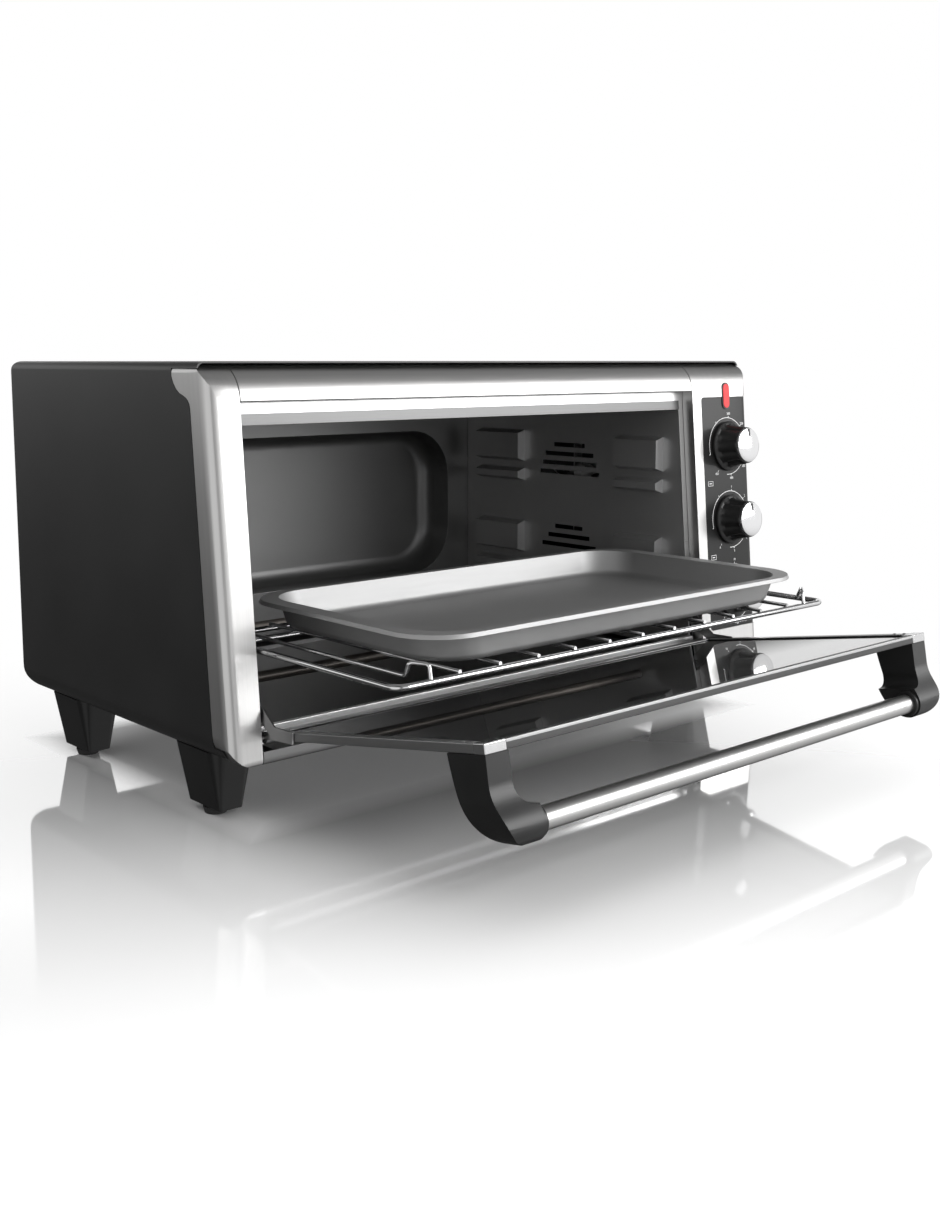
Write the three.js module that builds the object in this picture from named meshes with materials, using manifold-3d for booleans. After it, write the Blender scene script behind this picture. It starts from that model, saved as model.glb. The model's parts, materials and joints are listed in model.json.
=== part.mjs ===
// Toaster oven with its door open and its rack drawn out.
// Millimetres, +Z up. The front faces -Y and leans back; left is -X. The table is Z = 0.
import * as THREE from "three";
import { mergeVertices } from "three/addons/utils/BufferGeometryUtils.js";
import Module from "manifold-3d";

const wasm = await Module();
wasm.setup();

// ---------- driving sizes ----------
const degree = Math.PI / 180;
const sheet = 1.2; // thickness of the pressed steel
const gap = 0.3; // between pieces that touch
const arcSteps = 4; // fineness of the round outlines
const seam = 0.6; // visible joint between two trims

const caseWidth = 546;
const caseTop = 304;
const caseBottom = 48.5; // underside of the case, which the feet lift off the table
const caseBack = 296; // back face, from the front plane at half height
const caseTopRadius = 6;
const caseBottomRadius = 16;
const backTopRadius = 8;
const backBottomRadius = 20;
const backRim = 18; // flange round the opening for the rear cover
const bottomLip = 26; // flange that turns in under the case

const leanAngle = 4.6 * degree; // the front leans back
const trimDrop = 1.5; // the trims' top lies this far under the case's top
const headerRadius = 24; // quarter round along the top front edge
const headerDrop = 25.4; // the header's lower edge, under the case's top
const topReach = 52; // how far back the trims lie on the top
const sideReach = 20; // how far back they lie on the side
const trimCorner = 20; // lower outer corner, seen from the front
const beadRadius = 9; // rounded vertical front edge
const endTrimWidth = 24.3;
const controlWidth = 77.1;
const recess = 11; // the front frame lies this far behind the front plane
const barHeight = 9; // front bar of the crumb tray

const wallInset = 5.2; // cavity wall, inwards from the trim's edge
const lintelDrop = 40; // top of the cavity's mouth, under the case's top
const ceilingDrop = 22; // cavity ceiling, which the lintel hides
const backSpace = 5.5; // cavity back, in front of the case's back
const sillHeight = 21.5; // top of the sill, over the case's bottom
const bulgeSide = 25; // flat left beside the pressed bulge
const bulgeBelow = 28; // and under it
const bulgeAbove = 26;
const bulgeDepth = 34;
const bulgeCorner = 45;
const bulgeRoundest = 0.38; // most corner radius for the bulge's height
const bulgeEdge = 14;
const coverGap = 17; // between the cavity's bulge and the cover's

const hingeRise = 16; // hinge axis over the case's bottom
const hingeDepth = 2.5; // hinge axis behind the front plane
const restAngle = 9.7 * degree; // open door over the horizontal
const doorSideGap = 2.7;
const doorTopGap = 1.2;
const doorThickness = 5.5;
const doorInnerFace = 4.05; // inner face of the door, from the hinge axis
const railWidth = 7.5;
const topRailWidth = 6;
const bottomRailWidth = 12;
const bottomRailStart = 4.6;
const glassThickness = 3.2;
const glassEdge = 3; // glass held in the rails' groove
const pinRadius = 1.2;
const armThickness = 1.4;
const armWidth = 11;
const armTip = 5; // spring pin, behind the hinge axis when the door is level
const armRise = 16; // straight part of the arm, over the hinge axis
const springRadius = 3.2;

const handleRadius = 6.9;
const handleInside = 1.4; // bar axis below the door's top edge
const handleStandoff = 43.3; // bar axis out from the hinge plane
const bracketWidth = 17;
const bracketReach = 30; // how far the bracket's hook turns in to the bar
const barGrip = 10; // length of the bar held in each bracket
const collarRadius = 10.5;
const collarLength = 3;
const bracketFoot = 31.5; // length of the bracket's foot on the door

const lowerRackRise = 48; // rack wire over the cavity's floor line
const upperRackDrop = 59; // upper rack level, under the lintel
const rackDepth = 200;
const rackSideGap = 2.6;
const rackFront = -132; // front wire of the drawn-out rack
const rackEdgeRadius = 2.1;
const rackWireRadius = 1.4;
const rackBars = 11;
const rackBend = 9;

const panWidth = 376;
const panDepth = 205;
const panHeight = 20;
const panCorner = 34;
const panRim = 12; // flange at the ends
const panRimFront = 6; // flange at the front and back

const panelSideInset = 11.4; // dark panel, from the bezel's inner edge
const panelTopInset = 30.7;
const panelBottomInset = 24.5;
const panelThickness = 2;
const knobFromRight = 32;
const knobRadius = 21.5;
const knobDepth = 21;
const knobFaceRadius = 14.7;
const knobEndRoom = 73.3; // panel height that the knobs leave free
const knobGap = 3; // least gap between knobs, and to the panel's ends
const knobDrop = 6; // middle knob, under the panel's middle
const shaftRadius = 3;
const lensWidth = 7.7;
const lensHeight = 20.7;
const lensDrop = 30; // lens centre, under the case's top

const footWidth = 34;
const footLength = 56;
const footTaper = 8;
const footSideInset = 28;
const footFrontInset = 58;
const footBackInset = 49;
const padRadius = 9;
const padHeight = 5;

const elementRadius = 4;
const upperElementDrop = 9; // axis of the upper elements, under the ceiling
const lowerElementRise = 14; // axis of the lower elements, over the sill
const fanRadius = 40;

// ---------- sizes that follow from them ----------
const left = -caseWidth / 2;
const right = caseWidth / 2;
const frontMid = caseTop / 2; // height at which the front plane crosses Y = 0
const trimTop = caseTop - trimDrop;
const trimBottom = caseBottom - trimDrop;
const headerEdge = caseTop - headerDrop;
const trimLeft = left + endTrimWidth;
const trimRight = right - controlWidth;
const cavityLeft = trimLeft + wallInset;
const cavityRight = trimRight - wallInset;
const cavityMid = (cavityLeft + cavityRight) / 2;
const lintel = caseTop - lintelDrop;
const ceiling = caseTop - ceilingDrop;
const sillTop = caseBottom + sillHeight;
const cavityBack = caseBack - backSpace;
const baseTop = caseBottom + 2 * sheet + gap;
const wallBottom =
  caseBottom +
  backBottomRadius -
  Math.sqrt((backBottomRadius - sheet) ** 2 - (backBottomRadius - backSpace + sheet) ** 2) +
  gap;
const frameBack = recess + gap + sheet + gap;

const hingeZ = caseBottom + hingeRise;
const hingeY = frontY(hingeZ) + hingeDepth;
const doorLeft = trimLeft + doorSideGap;
const doorRight = trimRight - doorSideGap;
const doorLength = (headerEdge - doorTopGap - hingeZ) / Math.cos(leanAngle);

const lowerRackZ = sillTop + lowerRackRise;
const upperRackZ = lintel - upperRackDrop;
const rackLeft = cavityLeft + rackSideGap + rackEdgeRadius;
const rackRight = cavityRight - rackSideGap - rackEdgeRadius;

const panelLeft = trimRight + panelSideInset;
const panelTop = caseTop - panelTopInset;
const panelBottom = caseBottom + panelBottomInset;
const knobX = right - knobFromRight;
const panelHalf = (panelTop - panelBottom) / 2;
const knobPitch = Math.max(panelHalf - knobEndRoom / 2, 2 * knobRadius + knobGap);
const knobMid = panelBottom + panelHalf - Math.min(knobDrop, panelHalf - knobPitch - knobRadius - knobGap);

function frontY(z) {
  return Math.tan(leanAngle) * (z - frontMid);
}

// ---------- finishes ----------
const finish = {
  blackSteel: paint(0x0b0b0c, 0.35, 0.3),
  stainless: paint(0xc9c6c2, 0.28, 1),
  cavitySteel: paint(0x55565a, 0.38, 0.9),
  zincSteel: paint(0x8d8f92, 0.45, 0.9),
  chrome: paint(0xe2e2e2, 0.1, 1),
  blackPlastic: paint(0x101011, 0.4, 0),
  panelGrey: paint(0x2f3032, 0.25, 0),
  redLens: paint(0xc81414, 0.15, 0),
  glass: paint(0x1c1d1f, 0.05, 0),
  panGrey: paint(0x7d7d80, 0.4, 0.8),
  rubber: paint(0x161616, 0.8, 0),
};

function paint(color, roughness, metalness) {
  return new THREE.MeshStandardMaterial({ color, roughness, metalness });
}

// ---------- frames ----------
// The front frame: x across, y into the oven, z up along the leaning front.
const frontMatrix = new THREE.Matrix4()
  .makeTranslation(0, 0, frontMid)
  .multiply(new THREE.Matrix4().makeRotationX(-leanAngle));
// The door frame: origin on the hinge axis, -y out along the door, z out of its inner face.
const doorMatrix = new THREE.Matrix4()
  .makeTranslation(0, hingeY, hingeZ)
  .multiply(new THREE.Matrix4().makeRotationX(-restAngle));

function frontHeight(z) {
  return (z - frontMid) / Math.cos(leanAngle);
}

// ---------- solids ----------
function solid(geometry, matrix) {
  const plain = geometry.index ? geometry.toNonIndexed() : geometry.clone();
  plain.deleteAttribute("normal");
  plain.deleteAttribute("uv");
  if (matrix) plain.applyMatrix4(matrix);
  const merged = mergeVertices(plain, 1e-4);
  const triVerts = [];
  const index = merged.index.array;
  for (let i = 0; i < index.length; i += 3) {
    const [a, b, c] = [index[i], index[i + 1], index[i + 2]];
    if (a !== b && b !== c && c !== a) triVerts.push(a, b, c);
  }
  return new wasm.Manifold(
    new wasm.Mesh({
      numProp: 3,
      vertProperties: merged.attributes.position.array,
      triVerts: new Uint32Array(triVerts),
    }),
  );
}

function box(x0, x1, y0, y1, z0, z1, matrix) {
  const geometry = new THREE.BoxGeometry(x1 - x0, y1 - y0, z1 - z0);
  geometry.translate((x0 + x1) / 2, (y0 + y1) / 2, (z0 + z1) / 2);
  return solid(geometry, matrix);
}

// A rod along X, Y or Z, from a to b along that axis and at (u, v) across it.
function rod(axis, radius, a, b, u, v, sides = 16, matrix = null, radiusEnd = radius) {
  const geometry = new THREE.CylinderGeometry(radiusEnd, radius, b - a, sides);
  geometry.translate(0, (a + b) / 2, 0);
  if (axis === "x") geometry.rotateZ(-Math.PI / 2).translate(0, u, v);
  if (axis === "y") geometry.translate(u, 0, v);
  if (axis === "z") geometry.rotateX(Math.PI / 2).translate(u, v, 0);
  return solid(geometry, matrix);
}

// A shape drawn in (y, z) and carried along X, or drawn in (x, z) and carried along Y.
function alongX(shape, x0, x1, matrix) {
  const geometry = new THREE.ExtrudeGeometry(shape, { depth: x1 - x0, bevelEnabled: false, curveSegments: arcSteps });
  const turn = new THREE.Matrix4().makeBasis(axisY, axisZ, axisX).setPosition(x0, 0, 0);
  return solid(geometry.applyMatrix4(turn), matrix);
}

function alongY(shape, y0, y1, matrix) {
  const geometry = new THREE.ExtrudeGeometry(shape, { depth: y1 - y0, bevelEnabled: false, curveSegments: arcSteps });
  const turn = new THREE.Matrix4().makeBasis(axisX, axisZ, minusY).setPosition(0, y1, 0);
  return solid(geometry.applyMatrix4(turn), matrix);
}

function alongZ(shape, z0, z1, matrix) {
  const geometry = new THREE.ExtrudeGeometry(shape, { depth: z1 - z0, bevelEnabled: false, curveSegments: arcSteps });
  return solid(geometry.translate(0, 0, z0), matrix);
}

const axisX = new THREE.Vector3(1, 0, 0);
const axisY = new THREE.Vector3(0, 1, 0);
const axisZ = new THREE.Vector3(0, 0, 1);
const minusY = new THREE.Vector3(0, -1, 0);

// Rounded rectangle; the corner radii run from the lower left, anticlockwise.
function roundedShape(x0, x1, z0, z1, radii) {
  const [a, b, c, d] = Array.isArray(radii) ? radii : [radii, radii, radii, radii];
  const shape = new THREE.Shape();
  shape.moveTo(x0 + a, z0);
  shape.lineTo(x1 - b, z0);
  if (b) shape.absarc(x1 - b, z0 + b, b, -Math.PI / 2, 0);
  shape.lineTo(x1, z1 - c);
  if (c) shape.absarc(x1 - c, z1 - c, c, 0, Math.PI / 2);
  shape.lineTo(x0 + d, z1);
  if (d) shape.absarc(x0 + d, z1 - d, d, Math.PI / 2, Math.PI);
  shape.lineTo(x0, z0 + a);
  if (a) shape.absarc(x0 + a, z0 + a, a, Math.PI, 1.5 * Math.PI);
  return shape;
}

// A rounded rectangle whose far face, towards +w, is drawn in by edge: straight with one step, round with more.
function pressed(x0, x1, z0, z1, radius, edgeIn, edgeDepth, depth, steps) {
  return new THREE.ExtrudeGeometry(roundedShape(x0, x1, z0, z1, radius), {
    depth: depth - edgeDepth,
    bevelSize: edgeIn,
    bevelOffset: -edgeIn,
    bevelThickness: edgeDepth,
    bevelSegments: steps,
    curveSegments: arcSteps,
  });
}

function polygon(points) {
  return new THREE.Shape(points.map(([u, v]) => new THREE.Vector2(u, v)));
}

// A wire through points, with its corners bent to a radius.
function wire(points, radius, bend, sides = 8) {
  const corners = points.map((p) => new THREE.Vector3(...p));
  const section = new THREE.Shape().absarc(0, 0, radius, 0, 2 * Math.PI);
  const pieces = [];
  const lap = 0.15;
  let start = corners[0];
  const run = (curve, steps) => {
    const geometry = new THREE.ExtrudeGeometry(section, { steps, extrudePath: curve, curveSegments: sides / 2 });
    pieces.push(solid(geometry));
  };
  for (let i = 1; i < corners.length; i++) {
    const here = corners[i];
    const before = start.clone().sub(here).normalize();
    const last = i === corners.length - 1;
    const stop = last ? here : here.clone().addScaledVector(before, bend);
    run(new THREE.LineCurve3(start, last ? stop : stop.clone().addScaledVector(before, -lap)), 1);
    if (last) break;
    const after = corners[i + 1].clone().sub(here).normalize();
    const next = here.clone().addScaledVector(after, bend);
    run(new THREE.QuadraticBezierCurve3(stop, here, next), 3);
    start = next.clone().addScaledVector(after, -lap);
  }
  return join(pieces);
}

function join(pieces) {
  return pieces.reduce((all, piece) => all.add(piece));
}

function cut(whole, pieces) {
  return pieces.reduce((rest, piece) => rest.subtract(piece), whole);
}

function mirrored(build) {
  return [
    ["left", 1],
    ["right", -1],
  ].map(([side, sign]) => [side, build(sign)]);
}

const oven = new THREE.Group();

function addPart(name, shape, material) {
  const { vertProperties, triVerts } = shape.getMesh();
  const geometry = new THREE.BufferGeometry();
  geometry.setAttribute("position", new THREE.BufferAttribute(vertProperties, 3));
  geometry.setIndex(new THREE.BufferAttribute(triVerts, 1));
  geometry.computeVertexNormals();
  const part = new THREE.Mesh(geometry, material);
  part.name = name;
  oven.add(part);
}

// ---------- stainless front ----------
// Side outline shared by the end trim, the header, the bezel and the crumb tray's bar.
// inset moves it inwards; open carries it far back, for hollowing.
function frontOutline(inset, open) {
  const far = topReach + 60;
  const top = trimTop - inset;
  const bottom = trimBottom + inset;
  const radius = headerRadius - inset;
  const lower = 5;
  const centreZ = trimTop - headerRadius;
  const centreY = frontY(centreZ) + headerRadius / Math.cos(leanAngle);
  const side = (z) => frontY(z) + sideReach - inset;
  const front = (z) => frontY(z) + inset / Math.cos(leanAngle);
  const shape = new THREE.Shape();
  shape.moveTo(front(bottom) + lower, bottom);
  shape.quadraticCurveTo(front(bottom), bottom, front(bottom + lower), bottom + lower);
  shape.absarc(centreY, centreZ, radius, Math.PI - leanAngle, Math.PI / 2, true);
  if (open) {
    shape.lineTo(far, top);
    shape.lineTo(far, bottom);
  } else {
    const shoulder = trimTop - 8;
    const waist = trimTop - 28;
    shape.lineTo(topReach - inset, top);
    shape.lineTo(topReach - inset, shoulder);
    shape.quadraticCurveTo(topReach - 4 - inset, shoulder - 10, topReach - 14 - inset, shoulder - 12);
    shape.quadraticCurveTo(side(waist) + 1, shoulder - 14, side(waist), waist);
    shape.lineTo(side(bottom), bottom);
  }
  return shape;
}

function frontSolid(inset, open) {
  const low = frontHeight(trimBottom) - 60;
  const high = frontHeight(trimTop) + 60;
  const back = topReach + 80;
  const profile = alongX(frontOutline(inset, open), left - 10, right + 10);
  const corner = trimCorner - inset;
  const top = caseTopRadius - inset;
  const outline = roundedShape(left + inset, right - inset, trimBottom + inset, trimTop - inset, [
    corner,
    corner,
    top,
    top,
  ]);
  const bead = roundedShape(left + inset, right - inset, inset, back + inset, [beadRadius, beadRadius, 0, 0]);
  return profile
    .intersect(alongY(outline, -back, back))
    .intersect(alongZ(bead, low, high, frontMatrix));
}

const frontBlock = frontSolid(0, false);
const frontSkin = frontBlock.subtract(frontSolid(sheet, true));

// The part of space that lies less than depth behind the front plane.
function beforeFront(depth) {
  return box(left - 20, right + 20, -200, depth, -400, 400, frontMatrix);
}

function between(x0, x1, z0, z1) {
  return box(x0, x1, -200, 400, z0, z1);
}

function returnWall(x0, x1, z0, z1) {
  return frontBlock.intersect(between(x0, x1, z0, z1)).intersect(beforeFront(recess));
}

function hingePinHole(x0, x1) {
  return rod("x", pinRadius + gap, x0, x1, hingeY, hingeZ);
}

function leftEndTrim() {
  const edge = trimLeft - seam / 2;
  const skin = frontSkin.intersect(between(left - 1, edge, 0, 400));
  const wall = returnWall(edge - sheet, edge, 0, 400);
  return skin.add(wall).subtract(hingePinHole(edge - 3, edge + 3));
}

function headerTrim() {
  const skin = frontSkin.intersect(between(trimLeft + seam / 2, trimRight - seam / 2, headerEdge, 400));
  return skin.add(returnWall(trimLeft + seam / 2, trimRight - seam / 2, headerEdge, headerEdge + sheet));
}

function lensShape(grow) {
  const centre = frontHeight(caseTop - lensDrop);
  const [w, h] = [lensWidth / 2 + grow, lensHeight / 2 + grow];
  return roundedShape(knobX - w, knobX + w, centre - h, centre + h, w - 0.01);
}

// Window in the bezel for the dark panel, open at the oven's right side.
function panelWindow(shrink) {
  const [low, high] = [frontHeight(panelBottom) + shrink, frontHeight(panelTop) - shrink];
  const depth = sideReach - 6 - shrink;
  return alongY(roundedShape(panelLeft + shrink, right + 10, low, high, [3, 0, 0, 3]), -20, depth, frontMatrix);
}

function controlBezel() {
  const edge = trimRight + seam / 2;
  const skin = frontSkin.intersect(between(edge, right + 1, 0, 400));
  const wall = returnWall(edge, edge + sheet, 0, 400);
  return cut(skin.add(wall), [
    panelWindow(0),
    alongY(lensShape(gap), -20, 10, frontMatrix),
    hingePinHole(edge - 3, edge + 3),
  ]);
}

function knobHeight(i) {
  return frontHeight(knobMid + (1 - i) * knobPitch);
}

function controlPanel() {
  const shell = frontSolid(sheet / 4, false).subtract(frontSolid(sheet / 4 + panelThickness, true));
  const holes = [0, 1, 2].map((i) => rod("y", shaftRadius + 2, -20, 20, knobX, knobHeight(i), 16, frontMatrix));
  return cut(shell.intersect(panelWindow(gap)), [...holes, alongY(lensShape(gap), -20, 10, frontMatrix)]);
}

addPart("left_end_trim", leftEndTrim(), finish.stainless);
addPart("header_trim", headerTrim(), finish.stainless);
addPart("control_bezel", controlBezel(), finish.stainless);
addPart("control_panel", controlPanel(), finish.panelGrey);
addPart("indicator_lens", alongY(lensShape(0), -1, 3, frontMatrix), finish.redLens);
const lampHeight = frontHeight(caseTop - lensDrop);
addPart("indicator_lamp", rod("z", 2.6, lampHeight - 7, lampHeight + 7, knobX, 6.5, 10, frontMatrix), finish.glass);

// ---------- case ----------
function caseSolid(inset) {
  const top = caseTopRadius - inset;
  const bottom = caseBottomRadius - inset;
  const front = alongY(
    roundedShape(left + inset, right - inset, caseBottom + inset, caseTop - inset, [bottom, bottom, top, top]),
    -100,
    caseBack + 10,
  );
  const side = roundedShape(-120, caseBack - inset, caseBottom + inset, caseTop - inset, [
    0,
    backBottomRadius - inset,
    backTopRadius - inset,
    0,
  ]);
  return front.intersect(alongX(side, left - 10, right + 10));
}

const rearOpening = [left + backRim, right - backRim, caseBottom + backBottomRadius + 2, caseTop - backRim];

function outerCase() {
  const [x0, x1, z0, z1] = rearOpening;
  const skin = caseSolid(0).subtract(caseSolid(sheet));
  const rows = [0, 1, 2, 3];
  const columns = [0, 1, 2, 3, 4, 5];
  const holes = rows.flatMap((row) =>
    columns.map((column) => {
      const y = fanY - 25 + 10 * column;
      const z = fanZ + 20 + 9 * row;
      return box(right - 5, right + 5, y - 2.5, y + 2.5, z - 2.2, z + 2.2);
    }),
  );
  return cut(skin, [
    frontSolid(-seam, false),
    box(left - 5, right + 5, -200, frontY(caseBottom) - 5, 0, 400),
    beforeFront(recess - 1),
    box(left + bottomLip, right - bottomLip, -200, caseBack - backBottomRadius - 6, 0, caseBottom + 5),
    box(x0, x1, caseBack - 5, caseBack + 5, z0, z1),
    ...holes,
  ]);
}

// Pressed bulge that a large round tray needs, drawn out towards +Y.
function bulge(inset, back, grow) {
  const x0 = cavityLeft + bulgeSide - grow + inset;
  const x1 = cavityRight - bulgeSide + grow - inset;
  const z0 = sillTop + bulgeBelow - grow + inset;
  const z1 = lintel - bulgeAbove + grow - inset;
  const height = lintel - sillTop - bulgeBelow - bulgeAbove;
  const radius = Math.min(bulgeCorner, bulgeRoundest * height) + grow - inset;
  const geometry = pressed(x0, x1, z0, z1, radius, bulgeEdge, bulgeEdge, 120, 3);
  geometry.scale(1, 1, -1);
  const turn = new THREE.Matrix4().makeBasis(axisX, axisZ, axisY);
  geometry.applyMatrix4(turn);
  return geometry.translate(0, back - inset - bulgeEdge, 0);
}

function bulgedPlate(x0, x1, z0, z1, plateBack, bulgeBack, grow) {
  const plate = box(x0, x1, plateBack - sheet, plateBack, z0, z1);
  const keep = box(x0, x1, plateBack - sheet, bulgeBack + 10, z0, z1);
  const outer = solid(bulge(0, bulgeBack, grow)).intersect(keep);
  return plate.add(outer).subtract(solid(bulge(sheet, bulgeBack, grow)));
}

const coverBulgeBack = cavityBack + sheet + bulgeDepth + coverGap;

function rearCover() {
  const [x0, x1, z0, z1] = rearOpening;
  const plate = bulgedPlate(x0 + gap, x1 - gap, z0 + gap, z1 - gap, caseBack, coverBulgeBack, 14);
  const slots = [-2, -1, 0, 1, 2].map((i) => {
    const x = right - controlWidth / 2 + 8 * i - 2;
    return box(x - 1.8, x + 1.8, caseBack - 5, caseBack + 5, frontMid + 10, frontMid + 60);
  });
  return cut(plate, [...slots, rod("y", 6 + gap, caseBack - 10, caseBack + 10, glandX, glandZ)]);
}

function basePlate() {
  const lowX = left + caseBottomRadius + 2;
  const highX = right - caseBottomRadius - 2;
  const front = frontY(caseBottom) + sideReach + 2;
  const plate = box(lowX, highX, front, caseBack - backBottomRadius - 1, baseTop - sheet, baseTop);
  const slots = [0, 1, 2, 3, 4, 5].map((i) => {
    const y = front + 60 + 26 * i;
    return box(cavityMid - 60, cavityMid + 60, y - 2, y + 2, 0, 100);
  });
  return cut(plate, slots);
}

const fanY = (frontY(lintel) + cavityBack) / 2;
const fanZ = (lowerRackZ + upperRackZ) / 2 + 26;
const glandX = right - controlWidth / 2;
const glandZ = caseBottom + 42;

addPart("outer_case", outerCase(), finish.blackSteel);
addPart("rear_cover", rearCover(), finish.blackSteel);
addPart("base_plate", basePlate(), finish.zincSteel);
addPart(
  "cord_gland",
  join([
    rod("y", 6, caseBack - 6, caseBack + 1, glandX, glandZ),
    rod("y", 9.5, caseBack + gap, caseBack + 6, glandX, glandZ, 16, null, 7),
  ]),
  finish.blackPlastic,
);

// ---------- front frame and cavity ----------
function frontFrame() {
  const slab = box(left - 5, right + 5, recess + gap, recess + gap + sheet, -200, 200, frontMatrix);
  const plate = frontSolid(panelThickness + sheet / 4 + gap, true).intersect(slab);
  const shafts = [0, 1, 2].map((i) => rod("y", shaftRadius + 2, 0, 30, knobX, knobHeight(i), 16, frontMatrix));
  const trayTop = trimBottom + barHeight + 2;
  const armSlot = hingeZ + 28;
  return cut(plate, [
    between(cavityLeft, cavityRight, sillTop, lintel),
    between(trimLeft - 1, trimRight + 1, 0, trayTop),
    between(trimLeft + 0.2, trimLeft + doorSideGap + 0.7, trayTop - 1, armSlot),
    between(trimRight - doorSideGap - 0.7, trimRight - 0.2, trayTop - 1, armSlot),
    ...shafts,
  ]);
}

// Raised pads that leave a groove for the rack's side wire at each level.
function rackPads(inner, into, y0, y1, level, inset, open) {
  const out = 9;
  const groove = 4.2;
  const padTop = level + 34;
  const ledge = level - rackEdgeRadius - gap;
  const span = (z0, z1) => {
    const [a, b] = [z0 + inset, z1 - inset];
    const reach = out - inset;
    const foot = open ? -3 : 0;
    const section = polygon([
      [foot, a],
      [reach, a + 3],
      [reach, b - 3],
      [foot, b],
    ]);
    const geometry = new THREE.ExtrudeGeometry(section, { depth: y1 - y0 - 2 * inset, bevelEnabled: false });
    const turn = new THREE.Matrix4().makeBasis(axisX, axisZ, minusY).setPosition(0, y1 - inset, 0);
    geometry.applyMatrix4(turn);
    if (into < 0) geometry.rotateZ(Math.PI).translate(0, y0 + y1, 0);
    return solid(geometry.translate(inner, 0, 0));
  };
  return [span(level + groove, padTop), span(ledge - 12, ledge)];
}

function cavityWall(inner, into) {
  const outer = inner - into * sheet;
  const [x0, x1] = [Math.min(inner, outer), Math.max(inner, outer)];
  const front = (z) => frontY(z) + frameBack;
  const side = polygon([
    [front(wallBottom), wallBottom],
    [cavityBack - gap, wallBottom],
    [cavityBack - gap, ceiling - gap],
    [front(ceiling), ceiling - gap],
  ]);
  let wall = alongX(side, x0, x1);
  const frontPad = [frontY(lintel) + 28, frontY(lintel) + 78];
  const backPad = [cavityBack - 82, cavityBack - 22];
  for (const level of [lowerRackZ, upperRackZ])
    for (const [y0, y1] of [frontPad, backPad]) {
      const pads = rackPads(inner, into, y0, y1, level, 0, false);
      const hollows = rackPads(inner, into, y0, y1, level, sheet, true);
      wall = cut(wall.add(join(pads)), hollows);
    }
  const ends = elementPlaces.map(([, y, z]) => rod("x", elementRadius + gap, inner - 20, inner + 20, y, z, 12));
  return cut(wall, ends);
}

function fanSlots(inner) {
  const group = (lowest, widths) =>
    widths.map((width, row) => {
      const z = lowest + 8.5 * row;
      return box(inner - 5, inner + 5, fanY - width / 2, fanY + width / 2, z - 2, z + 2);
    });
  return [...group(fanZ + 14, [76, 70, 62, 40]), ...group(fanZ - 54, [70, 54, 36])];
}

const elementPlaces = [
  ["upper_element_front", frontY(lintel) + 62, ceiling - upperElementDrop],
  ["upper_element_back", cavityBack - 62, ceiling - upperElementDrop],
  ["lower_element_front", frontY(lintel) + 62, sillTop + lowerElementRise],
  ["lower_element_back", cavityBack - 62, sillTop + lowerElementRise],
];

const backWall = () =>
  bulgedPlate(
    cavityLeft - sheet,
    cavityRight + sheet,
    wallBottom,
    ceiling - gap,
    cavityBack + sheet,
    cavityBack + sheet + bulgeDepth,
    0,
  );

function cavityCeiling() {
  const y0 = frontY(ceiling) + frameBack + 0.5;
  const plate = box(cavityLeft - sheet, cavityRight + sheet, y0, cavityBack + sheet, ceiling, ceiling + sheet);
  const ribs = [-1, 1].map((side) => {
    const x = cavityMid + side * 90;
    return box(x - 4, x + 4, y0 + 30, cavityBack - 30, ceiling + sheet / 2, ceiling + 4);
  });
  return join([plate, ...ribs]);
}

function sillStrip() {
  const low = trimBottom + barHeight + 3;
  const lip = box(trimLeft + 3.3, trimRight - 3.3, recess - 2.6, recess, frontHeight(low), 0, frontMatrix);
  const groove = box(left, right, recess - 3, recess - 1.6, frontHeight(low + 5), frontHeight(low + 6.2), frontMatrix);
  return lip.intersect(between(left, right, 0, sillTop)).subtract(groove);
}

addPart("front_frame", frontFrame(), finish.cavitySteel);
addPart("cavity_left_wall", cavityWall(cavityLeft, 1), finish.cavitySteel);
addPart("cavity_right_wall", cut(cavityWall(cavityRight, -1), fanSlots(cavityRight)), finish.cavitySteel);
addPart("cavity_back", backWall(), finish.cavitySteel);
addPart("cavity_ceiling", cavityCeiling(), finish.cavitySteel);
addPart("sill_strip", sillStrip(), finish.stainless);
for (const [name, y, z] of elementPlaces)
  addPart(name, rod("x", elementRadius, cavityLeft - 9, cavityRight + 9, y, z, 12), finish.zincSteel);

// ---------- crumb tray ----------
function crumbTray() {
  const x0 = trimLeft + seam / 2;
  const x1 = trimRight - seam / 2;
  const top = trimBottom + barHeight;
  const bar = frontSkin.intersect(between(x0, x1, 0, top));
  const floorZ = baseTop + gap;
  const [trayLeft, trayRight] = [cavityLeft + 4, cavityRight - 4];
  const front = frontY(floorZ) + sheet / 2;
  const trayBack = cavityBack - 20;
  const tray = box(trayLeft, trayRight, front, trayBack, floorZ, top);
  const inside = box(trayLeft + sheet, trayRight - sheet, front + 3, trayBack - sheet, floorZ + sheet, top + 5);
  return bar.add(tray.subtract(inside));
}

addPart("crumb_tray", crumbTray(), finish.stainless);

// ---------- controls ----------
function knobLathe(points, z) {
  const geometry = new THREE.LatheGeometry(points.map(([r, y]) => new THREE.Vector2(r, y)), 20);
  geometry.rotateX(Math.PI).translate(knobX, 0, z);
  return solid(geometry, frontMatrix);
}

function knobBody(z) {
  const body = knobLathe(
    [
      [0, 1],
      [knobRadius - 1, 1],
      [knobRadius, 3],
      [knobRadius, 5],
      [knobRadius - 2, 7],
      [knobFaceRadius + 3, knobDepth],
      [knobFaceRadius + gap, knobDepth],
      [knobFaceRadius + gap, knobDepth - 3],
      [0, knobDepth - 3],
    ],
    z,
  );
  return body.subtract(rod("y", shaftRadius + 0.1, -12, 10, knobX, z, 16, frontMatrix));
}

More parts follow.
